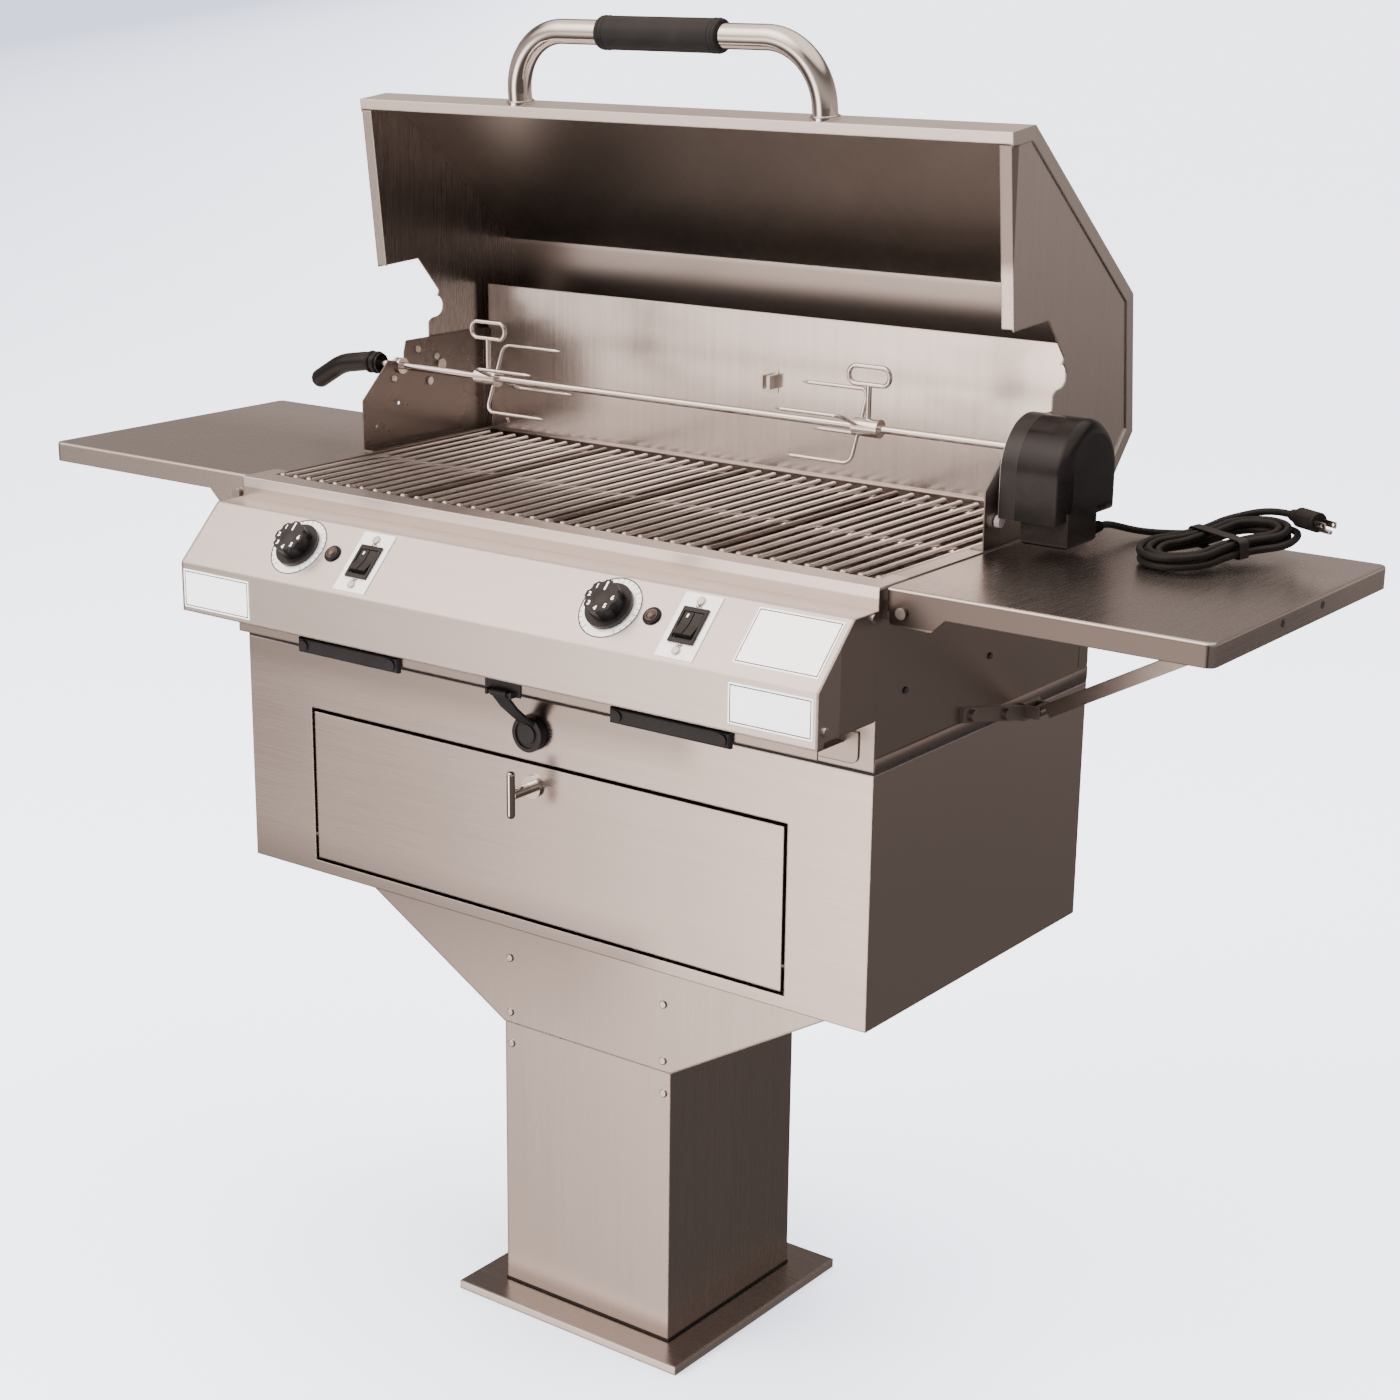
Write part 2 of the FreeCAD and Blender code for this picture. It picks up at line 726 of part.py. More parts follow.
    right = body_half - slope_label_in
    slope_label = box(right - slope_label_w, right, -slope_label_drop - slope_label_l, -slope_label_drop,
                      0, label_t)
    right = body_half - lower_label_in
    low = panel_bottom_z + lower_label_up
    lower_label = box(right - lower_label_w, right, nose - label_t, nose, low, low + lower_label_h)
    left = name_plate_in - body_half
    low = panel_bottom_z + name_plate_up
    name_plate = box(left, left + name_plate_w, nose - label_t, nose, low, low + name_plate_h)
    save("label_plates", [to_slope(slope_label), lower_label, name_plate])


def make_tray():
    """Sliding drip tray with its front plate, ledge, grips, latch plate and swinging latch arm."""
    pan = box(-tray_half, tray_half, front_y - slip_gap, tray_back_y, tray_z, tray_z + tray_h)
    pan = pan.cut(box(-tray_half + sheet_t, tray_half - sheet_t, front_y - slip_gap, tray_back_y - sheet_t,
                      tray_z + sheet_t, tray_z + tray_h))
    face_y = front_y - slip_gap - sheet_t
    r = tray_front_round
    front = box(-tray_front_half, tray_front_half, face_y, face_y + sheet_t, tray_front_z,
                tray_front_z + tray_front_h)
    corners = [e for e in front.Edges if abs(e.CenterOfMass.z - tray_front_z) < 0.01
               and abs(abs(e.CenterOfMass.x) - tray_front_half) < 0.01]
    front = front.makeFillet(r, corners)
    shelf_half = tray_front_half - 2 * r
    ledge = box(-shelf_half, shelf_half, tray_lip_y, face_y, tray_ledge_z - sheet_t, tray_ledge_z)
    lip = box(-shelf_half, shelf_half, tray_lip_y, tray_lip_y + sheet_t,
              tray_ledge_z - tray_lip_h, tray_ledge_z)
    save("drip_tray", [joined([pan, front, ledge, lip])])

    low = tray_ledge_z - grip_h
    grips = []
    for x in grip_x:
        half = grip_l / 2
        core = box(x - half, x + half, tray_lip_y - 6, tray_lip_y, low, tray_ledge_z)
        core = core.makeFillet(2.5, [e for e in core.Edges if e.CenterOfMass.y < tray_lip_y - 5])
        bosses = [bar((x + s * (half - 9), tray_lip_y - 8, low + grip_h / 2),
                      (x + s * (half - 9), tray_lip_y - 5, low + grip_h / 2), 6) for s in (-1, 1)]
        grips.append(joined([core] + bosses))
    save("tray_grips", grips)

    arm_y = tray_lip_y - arm_stand
    arm_z = tray_ledge_z - arm_drop
    plate = box(-23, 23, tray_lip_y - 1.5, tray_lip_y, arm_z - 3, tray_ledge_z)
    pin = bar((-17, arm_y, arm_z), (17, arm_y, arm_z), 2)
    ears = [box(x, x + 3, arm_y - 3, tray_lip_y - 1.5, arm_z - 3, arm_z + 3) for x in (-17, 14)]
    save("tray_latch_plate", [joined([plate, pin] + ears)])

    pad_y = front_y - slip_gap - 4
    eye = bar((-strap_w / 2, arm_y, arm_z), (strap_w / 2, arm_y, arm_z), 4)
    strap = [(arm_y - 2, arm_z - 2), (arm_y + 2.5, arm_z - 2.5), (tray_lip_y + 10, arm_z - 18),
             (pad_y - 1, pad_z + 10), (pad_y - 1, pad_z), (pad_y - 4, pad_z), (pad_y - 4, pad_z + 9),
             (tray_lip_y + 7, arm_z - 19)]
    strap = prism(strap, "x", -strap_w / 2, strap_w / 2)
    pad = bar((0, pad_y + 4 - slip_gap, pad_z), (0, pad_y - 6, pad_z), pad_r)
    ring = bar((0, pad_y - 6, pad_z), (0, pad_y - 4, pad_z), pad_r - 4)
    ring = ring.cut(bar((0, pad_y - 6, pad_z), (0, pad_y - 4, pad_z), pad_r - 9))
    bore = bar((-strap_w, arm_y, arm_z), (strap_w, arm_y, arm_z), 2 + running_fit)
    save("tray_latch_arm", [joined([eye, strap, pad]).cut(ring).cut(bore)])


def make_grates():
    """Four rod grates on the ledges."""
    width = rods_per_grate * rod_pitch
    rod_z = grate_top_z - grate_rod_r
    cross_z = rod_z - grate_rod_r - cross_r + 0.6
    for i in range(grate_count):
        start = (i - grate_count / 2) * width + rod_pitch / 2
        xs = [start + k * rod_pitch for k in range(rods_per_grate)]
        pieces = []
        for x in xs:
            pieces.append(bar((x, grate_front_y, rod_z), (x, grate_back_y, rod_z), grate_rod_r))
            pieces += [Part.makeSphere(grate_rod_r + 0.4, V(x, y, rod_z))
                       for y in (grate_front_y + grate_rod_r, grate_back_y - grate_rod_r)]
        for y in (cross_front_y, (cross_front_y + cross_back_y) / 2, cross_back_y):
            pieces.append(bar((xs[0] - grate_rod_r, y, cross_z), (xs[-1] + grate_rod_r, y, cross_z), cross_r))
        save("grate_" + str(i + 1), [joined(pieces)])


def make_elements(runners):
    """Two sheathed heating elements bent to and fro, the bars that they lie on and the tray runners."""
    half_depth = element_pitch * (element_rows - 1) / 2
    route = []
    for row in range(element_rows):
        y = -half_depth + row * element_pitch
        ends = (element_in_x, element_out_x)
        for x in (ends if row % 2 == 0 else ends[::-1]):
            route.append((x, y, element_z))
    element = tube(bent(route, element_pitch / 2 - 0.5), element_r)
    save("heating_elements", [mirrored(element), element])
    top = element_z - element_r - 0.2
    bars = [box(x - rest_t / 2, x + rest_t / 2, front_y + sheet_t, back_y - sheet_t, top - rest_h, top)
            for side in (-1, 1) for x in (side * rest_x[0], side * rest_x[1])]
    save("inner_rails", bars + runners)


def make_firebox():
    """Side wings and back wall standing on the rim."""
    outer = body_half - side_inset
    inner = outer - sheet_t
    r = spit_slot_r
    wing = [(wing_front_y, rim_z), (wing_front_y, wing_low_z), (wing_step_y, wing_step_z),
            (spit_y - r, spit_z + 6), (spit_y - r, spit_z), (spit_y + r, spit_z), (spit_y + r, spit_z + 14),
            (spit_y + r + 4, wing_top_z), (back_wall_y, wing_top_z), (back_wall_y, rim_z)]
    plate = prism(wing, "x", inner, outer)
    plate = plate.cut(bar((inner, spit_y, spit_z), (outer, spit_y, spit_z), r))
    foot = box(outer - wing_foot, inner, wing_front_y, back_wall_y, rim_z, rim_z + sheet_t)
    fold = box(outer - wing_foot, inner, back_wall_y - sheet_t, back_wall_y, rim_z + sheet_t, wing_top_z)
    stop_y, stop_z = stop_place()
    holes = [bar((inner, pivot_y, pivot_z), (outer, pivot_y, pivot_z), pivot_r + running_fit),
             bar((inner, stop_y, stop_z), (outer, stop_y, stop_z), screw_r + running_fit)]
    holes += [bar((inner, y, z), (outer, y, z), screw_r + running_fit)
              for y, z in bracket_feet + wing_screw_places]
    wing = clear(joined([plate, foot, fold]), holes)
    left = mirrored(wing)
    save("firebox_sides", [left, wing])

    fixings = [screw((inner, y, z), (1, 0, 0), sheet_t) for y, z in wing_screw_places]
    back = box(-back_wall_half, back_wall_half, back_wall_y, back_wall_y + sheet_t, rim_z, back_wall_z)
    back_foot = box(-back_wall_half, back_wall_half, back_wall_y + sheet_t, back_y, rim_z, rim_z + sheet_t)
    screw_x = back_wall_half - back_screw_in
    screw_z = rim_z + back_screw_up
    back_holes = [bar((x, back_wall_y, screw_z), (x, back_wall_y + sheet_t, screw_z), screw_r + running_fit)
                  for x in (-screw_x, screw_x)]
    save("back_wall", [clear(joined([back, back_foot]), back_holes)])
    fixings += [mirrored(s) for s in fixings]
    fixings += [screw((x, back_wall_y, screw_z), (0, 1, 0), sheet_t) for x in (-screw_x, screw_x)]

    plate_y = back_wall_y - clip_t
    clip = [box(clip_x - clip_w / 2, clip_x + clip_w / 2, plate_y, back_wall_y,
                clip_z - clip_h / 2, clip_z + clip_h / 2)]
    for x in (clip_x - clip_w / 4, clip_x + clip_w / 4):
        clip.append(box(x - clip_prong_w / 2, x + clip_prong_w / 2, plate_y - clip_prong_l, plate_y,
                        clip_z - clip_prong_h / 2, clip_z + clip_prong_h / 2))
    save("sensor_clip", [joined(clip)])

    bolts = []
    bolt = bar((inner - 3, pivot_y, pivot_z), (body_half + 5, pivot_y, pivot_z), pivot_r)
    head = bar((body_half + 2.3, pivot_y, pivot_z), (body_half + 5, pivot_y, pivot_z), 8)
    nut = bar((inner - 4, pivot_y, pivot_z), (inner, pivot_y, pivot_z), 7)
    washer = bar((outer, pivot_y, pivot_z), (outer + hood_side_gap - 0.3, pivot_y, pivot_z), 7)
    bolt = joined([bolt, head, nut, washer])
    pin = bar((inner - 3, stop_y, stop_z), (outer, stop_y, stop_z), screw_r)
    nub = bar((outer, stop_y, stop_z), (body_half + 2, stop_y, stop_z), stop_r)
    pin_nut = bar((inner - 3, stop_y, stop_z), (inner, stop_y, stop_z), stop_r)
    stop = joined([pin, nub, pin_nut])
    save("hood_pivot_bolts", [mirrored(bolt), bolt])
    save("firebox_screws", fixings + [mirrored(stop), stop])


def stop_place():
    """Centre of the stop that the open hood's side edge leans on, as (y, z)."""
    edge = opened((hood_tail()[0]))
    low = opened((hood_tail()[1]))
    z = low[1] + 6
    share = (z - low[1]) / (edge[1] - low[1])
    return low[0] + share * (edge[0] - low[0]) - stop_r - slip_gap, z


def hood_tail():
    """Two corners of the closed hood side's lower edge behind the spit, as (y, z)."""
    return (spit_y + 15, pivot_z - 8), (pivot_y + 21, pivot_z - 17)


def opened(point):
    """A closed-hood point (y, z) swung open."""
    a = -math.radians(hood_open_deg)
    y = point[0] - pivot_y
    z = point[1] - pivot_z
    return pivot_y + y * math.cos(a) - z * math.sin(a), pivot_z + y * math.sin(a) + z * math.cos(a)


def make_hood():
    """Hood skin, side panels, handle and grip, drawn closed and swung open."""
    lip_top = hood_front_z + hood_lip_h
    line = [(front_y + hood_rim_return, hood_front_z), (front_y, hood_front_z), (front_y, lip_top),
            (hood_top_y[0], hood_top_z), (hood_top_y[1], hood_top_z), (hood_end_y, hood_end_z)]
    side_out = body_half + sheet_t / 2 - 0.25
    side_in = side_out - sheet_t
    cover = side_out + sheet_t
    skin = folded(line, sheet_t, -cover, cover)
    flange = folded(line[1:], hood_flange, side_out, cover)
    handle_z = hood_front_z + handle_up
    skin = joined([skin, flange, mirrored(flange)])
    save("hood_skin", [to_open(skin)])

    r = hood_notch_r
    tail_a, tail_b = hood_tail()
    lower = [(hood_side_y, hood_front_z), (hood_side_y + 4, pivot_z - 16),
             (wing_step_y + 2.5, pivot_z + 14), (spit_y - r, spit_z + 5), (spit_y - r, spit_z),
             (spit_y + r, spit_z), (spit_y + r, tail_a[1] + 6), tail_a, tail_b]
    panel = prism(line[1:] + lower[::-1], "x", side_in, side_out)
    panel = panel.cut(folded(line, sheet_t, side_in, side_out))
    panel = panel.cut(bar((side_in, spit_y, spit_z), (side_out, spit_y, spit_z), r))
    panel = panel.cut(bar((side_in, pivot_y, pivot_z), (side_out, pivot_y, pivot_z), pivot_r + running_fit))
    rim = box(side_in - 12, side_in, front_y + hood_rim_return + sheet_t, hood_side_y - 2, hood_front_z,
              hood_front_z + sheet_t)
    panel = panel.fuse(rim).removeSplitter()
    right = to_open(panel)
    save("hood_sides", [mirrored(right), right])

    out_y = front_y - handle_stand
    route = [(-handle_half, front_y, handle_z), (-handle_half, out_y, handle_z),
             (handle_half, out_y, handle_z), (handle_half, front_y, handle_z)]
    rail = tube(bent(route, handle_bend), handle_r)
    bases = [bar((s * handle_half, front_y, handle_z), (s * handle_half, front_y - handle_foot_t, handle_z),
                 handle_foot_r) for s in (-1, 1)]
    save("hood_handle", [to_open(joined([rail] + bases))])
    sleeve = bar((-grip_half, out_y, handle_z), (grip_half, out_y, handle_z), grip_r)
    sleeve = sleeve.makeFillet(3, [e for e in sleeve.Edges if abs(abs(e.CenterOfMass.x) - grip_half) < 0.01])
    sleeve = sleeve.cut(bar((-grip_half, out_y, handle_z), (grip_half, out_y, handle_z),
                            handle_r + running_fit))
    save("hood_grip", [to_open(sleeve)])


def make_spit():
    """Spit rod with its bushing, handle, drive coupling, two forks and their thumbscrews."""
    wing_out = body_half - side_inset
    wing_in = wing_out - sheet_t
    rod = bar((spit_handle_x + 2, spit_y, spit_z), (coupling_end_x - 4, spit_y, spit_z), spit_r)
    bushing = [bar((-wing_out - 4.2, spit_y, spit_z), (-wing_out - 0.2, spit_y, spit_z), collar_r),
               bar((-wing_out - 0.2, spit_y, spit_z), (-wing_in + 0.2, spit_y, spit_z), bushing_r),
               bar((-wing_in + 0.2, spit_y, spit_z), (-wing_in + 4.2, spit_y, spit_z), collar_r)]
    drive = bar((body_half + 0.5, spit_y, spit_z), (coupling_end_x, spit_y, spit_z), coupling_r)
    save("spit_rod", [joined([rod, drive] + bushing)])

    x = spit_handle_x
    route = [(x + 6, spit_y, spit_z), (x - 18, spit_y, spit_z), (x - 56, spit_y, spit_z - 6),
             (x - 92, spit_y, spit_z - 27)]
    grip = tube(bent(route, [0, 70, 70, 0]), spit_handle_r)
    ends = [Part.makeSphere(spit_handle_r, V(*route[-1]))]
    bumps = [Part.makeTorus(spit_handle_r - 2, 4, V(x - k, spit_y, spit_z), V(1, 0, 0)) for k in (0, 9)]
    grip = joined([grip] + ends + bumps)
    grip = grip.cut(bar((x + 2 - 0.01, spit_y, spit_z), (x + 10, spit_y, spit_z), spit_r + running_fit))
    save("spit_handle", [grip])

    for name, x, way in (("left", fork_x[0], 1), ("right", fork_x[1], -1)):
        hub = bar((x - fork_hub_l / 2, spit_y, spit_z), (x + fork_hub_l / 2, spit_y, spit_z), fork_hub_r)
        start = x + way * (fork_hub_l / 2 - 5)
        pieces = [hub]
        for k in range(4):
            a = math.radians(tine_turn + 90 * k)
            out = (tine_ring_r * math.cos(a), tine_ring_r * math.sin(a))
            route = [(start, spit_y + 0.15 * out[0], spit_z + 0.15 * out[1]),
                     (start, spit_y + out[0], spit_z + out[1]),
                     (start + way * (tine_l - 8), spit_y + out[0], spit_z + out[1])]
            pieces.append(tube(bent(route, 9), tine_r))
            tip = V(*route[-1])
            pieces.append(Part.makeCone(tine_r, 0.5, 8, tip, V(way, 0, 0)))
        fork = joined(pieces)
        fork = fork.cut(bar((x - fork_hub_l, spit_y, spit_z), (x + fork_hub_l, spit_y, spit_z),
                            spit_r + running_fit))
        fork = fork.cut(bar((x, spit_y, spit_z), (x, spit_y, spit_z + 20), thumb_r + running_fit))
        save("fork_" + name, [fork])

        tip_z = spit_z + spit_r + 2 * running_fit
        mid = spit_z + thumb_loop_z
        rx = thumb_loop_w / 2
        rz = thumb_loop_h / 2
        loop = [(x - rx, spit_y, mid - rz), (x + rx, spit_y, mid - rz), (x + rx, spit_y, mid + rz),
                (x - rx, spit_y, mid + rz)]
        ring = tube(bent(loop, rz - 0.5, closed=True), thumb_wire_r)
        stem = bar((x, spit_y, tip_z), (x, spit_y, mid - rz), thumb_r)
        save("thumbscrew_" + name, [joined([ring, stem])])


def motor_outline(grow):
    """Arched outline of the motor, as a wire at x = 0."""
    y0 = motor_y[0] - grow
    y1 = motor_y[1] + grow
    mid = (y0 + y1) / 2
    low = motor_low_z - grow
    top = motor_shoulder_z + (y1 - y0) / 2
    edges = [Part.LineSegment(V(0, y0, motor_shoulder_z), V(0, y0, low)).toShape(),
             Part.LineSegment(V(0, y0, low), V(0, y1, low)).toShape(),
             Part.LineSegment(V(0, y1, low), V(0, y1, motor_shoulder_z)).toShape(),
             Part.Arc(V(0, y1, motor_shoulder_z), V(0, mid, top), V(0, y0, motor_shoulder_z)).toShape()]
    return Part.Wire(edges)


def slab(wire, x0, x1):
    """A closed outline at x = 0 drawn from x0 to x1."""
    shape = Part.Face(wire).extrude(V(x1 - x0, 0, 0))
    shape.translate(V(x0, 0, 0))
    return shape


def make_motor():
    """Motor bracket on standoffs, motor housing and the relief where its cord comes out."""
    wing_out = body_half - side_inset
    plate = slab(motor_outline(0), bracket_x, bracket_x + bracket_t)
    edge = slab(motor_outline(0), bracket_x + bracket_t, motor_x)
    edge = edge.cut(slab(motor_outline(-bracket_t), bracket_x + bracket_t, motor_x))
    feet = []
    for y, z in bracket_feet:
        feet.append(bar((wing_out, y, z), (bracket_x, y, z), 6))
        feet.append(bar((wing_out - sheet_t - 3, y, z), (wing_out, y, z), screw_r))
        feet.append(bar((wing_out - sheet_t - 3, y, z), (wing_out - sheet_t, y, z), screw_head_r))
    bracket = joined([plate, edge] + feet)
    bracket = bracket.cut(bar((bracket_x, spit_y, spit_z), (motor_x, spit_y, spit_z), coupling_r + 2))
    save("motor_bracket", [bracket])

    out_x = motor_x + motor_w
    case = slab(motor_outline(0), motor_x, out_x)
    rounded = [e for e in case.Edges if e.CenterOfMass.x > out_x - 0.01]
    case = case.makeFillet(motor_round, rounded)
    foot = box(motor_x + 4, out_x, motor_foot_y[0], motor_foot_y[1], motor_foot_z, motor_low_z + 12)
    foot = foot.makeFillet(5, [e for e in foot.Edges if e.CenterOfMass.z < motor_foot_z + 0.01])
    motor = joined([case, foot])
    motor = motor.cut(bar((motor_x, spit_y, spit_z), (coupling_end_x + 1, spit_y, spit_z),
                          coupling_r + slip_gap))
    out_y = motor_foot_y[1]
    socket = bar((relief_x, out_y - 6, relief_z), (relief_x, out_y, relief_z), relief_r)
    save("motor_housing", [motor.cut(socket)])
    relief = bar((relief_x, out_y - 6, relief_z), (relief_x, out_y, relief_z), relief_r)
    sleeve = Part.makeCone(relief_r, relief_tip_r, relief_l, V(relief_x, out_y, relief_z), V(0, 1, 0))
    grooves = []
    for k in range(4):
        along = relief_l * (k + 1) / 5
        radius = relief_r + (relief_tip_r - relief_r) * along / relief_l
        grooves.append(Part.makeTorus(radius, 0.7, V(relief_x, out_y + along, relief_z), V(0, 1, 0)))
    save("cord_relief", [clear(relief.fuse(sleeve), grooves)])


def biarc(start, start_way, end, end_way):
    """Two tangent arcs from one point and direction to another."""
    across = end - start
    ways = start_way + end_way
    lead = across.dot(ways)
    spread = 2 * (1 - start_way.dot(end_way))
    if spread > 1e-6:
        reach = (-lead + math.sqrt(lead * lead + spread * across.dot(across))) / spread
    else:
        reach = across.dot(across) / (2 * lead)
    corner_a = start + start_way * reach
    corner_b = end - end_way * reach
    middle = (corner_a + corner_b) * 0.5
    edges = []
    for a, corner, b in ((start, corner_a, middle), (middle, corner_b, end)):
        chord = (a + b) * 0.5
        half = (b - a).Length / 2
        rise = (corner - chord).Length
        if rise < 1e-4:
            edges.append(Part.LineSegment(a, b).toShape())
            continue
        sag = half * math.tan(math.atan2(rise, half) / 2)
        edges.append(Part.Arc(a, chord + (corner - chord) * (sag / rise), b).toShape())
    return edges


def hank_stations():
    """Points and directions of the tied hank, eight to a loop, in its own flat frame."""
    reach = math.hypot(hank_end_x, hank_waist_y)
    along = hank_end_x / reach
    across = hank_waist_y / reach
    stations = []
    count = round(8 * hank_loops * 2)
    for q in range(count + 1):
        turns = min(q, count - q) / 8.0
        r = hank_end_r - hank_step * turns
        waist = r - (reach - hank_waist_y)
        climb = min(1.0, max(0.0, (q - count / 2 + 2) / 4.0))
        z = hank_layer * climb + (hank_end_lift if q == count else 0)
        end = hank_end_x + r
        join_x = hank_end_x - r * along
        join_y = r * across
        points = ((end, 0), (join_x, -join_y), (0, -waist), (-join_x, -join_y),
                  (-end, 0), (-join_x, join_y), (0, waist), (join_x, join_y))
        ways = ((0, -1), (-across, along), (-1, 0), (-across, -along),
                (0, 1), (across, -along), (1, 0), (across, along))
        stations.append((V(*points[q % 8], z), V(*ways[q % 8], 0)))
    return stations


def least_gap(wire):
    """Least gap between turns of a tube, measured between points along its middle."""
    count = int(wire.Length / 2)
    points = wire.discretize(Number=count)
    apart = int(10 * cord_r / 2)
    least = min((a - b).Length for i, a in enumerate(points) for b in points[i + apart:])
    return least - 2 * cord_r


def make_cord():
    """Cord lead from the motor, the tied hank on the right shelf and the plug."""
    lying_z = shelf_top_z + cord_r + slip_gap
    pitch = math.degrees(math.asin((hank_start[2] - lying_z) / (2 * (hank_end_x + hank_end_r))))
    tip = FreeCAD.Rotation(V(0, 1, 0), -pitch)
    place = FreeCAD.Rotation(V(0, 0, 1), hank_turn)
    turned = [(place.multVec(tip.multVec(at)), place.multVec(tip.multVec(way)))
              for at, way in hank_stations()]
    shift = V(*hank_start) - turned[0][0]
    turned = [(at + shift, way) for at, way in turned]
    run = 2 * cord_r
    first, first_way = turned[0]
    edges = [Part.LineSegment(first - first_way * run, first).toShape()]
    for (a, wa), (b, wb) in zip(turned, turned[1:]):
        edges += biarc(a, wa, b, wb)
    last, last_way = turned[-1]
    edges.append(Part.LineSegment(last, last + last_way * run).toShape())
    wire = Part.Wire(edges)
    hank = tube(wire, cord_r)
    save("cord_hank", [hank])
    print("hank length", round(wire.Length, 1), "volume share",
          round(hank.Volume / (math.pi * cord_r ** 2 * wire.Length), 4))
    print("least gap between turns", round(least_gap(wire), 2))

    route = [V(*p) for p in lead_route]
    radii = [0]
    for a, b, c in zip(route, route[1:], route[2:]):
        turn = (b - a).getAngle(c - b)
        radii.append(0.45 * min((b - a).Length, (c - b).Length) / math.tan(turn / 2))
    radii.append(0)
    lead_wire = bent(lead_route, radii)
    lead = tube(lead_wire, cord_r)
    save("cord_lead", [lead])
    print("lead radii", [round(r, 1) for r in radii[1:-1]], "length", round(lead_wire.Length, 1),
          "volume share", round(lead.Volume / (math.pi * cord_r ** 2 * lead_wire.Length), 4))

    back = last + last_way * run
    side = V(-last_way.y, last_way.x, 0).normalize()
    neck = Part.makeCone(cord_r + 1.5, plug_r - 2, 12, back, last_way)
    block = Part.makeCylinder(plug_r, plug_l - 12, back + last_way * 12, last_way)
    pieces = [neck, block]
    face = back + last_way * plug_l
    for way in (-1, 1):
        blade = Part.makeBox(1.5, 6.3, prong_l)
        blade.translate(V(-0.75, -3.15, 0))
        turn = FreeCAD.Rotation(side, V(0, 0, 1), last_way, "ZXY")
        blade.Placement = FreeCAD.Placement(face + side * (6.3 * way) - last_way, turn) * blade.Placement
        pieces.append(blade)
    pin_low = face - V(0, 0, 1) * 5
    pieces.append(Part.makeCylinder(2.4, prong_l + 2, pin_low - last_way, last_way))
    save("plug", [joined(pieces)])


def shelf_block(out_x, y0, y1, top_z, less):
    """Block with rounded outer corners and top edges, their radii less by an amount."""
    block = box(shelf_in_x, out_x, y0, y1, shelf_top_z - shelf_flange, top_z)
    corners = [e for e in block.Edges if abs(e.CenterOfMass.x - out_x) < 0.01
               and min(abs(e.CenterOfMass.y - y0), abs(e.CenterOfMass.y - y1)) < 0.01]
    block = block.makeFillet(shelf_corner_r - less, corners)
    brow = [e for e in block.Edges if abs(e.CenterOfMass.z - top_z) < 0.01
            and e.CenterOfMass.x > shelf_in_x + 1]
    return block.makeFillet(shelf_edge_r - less, brow)


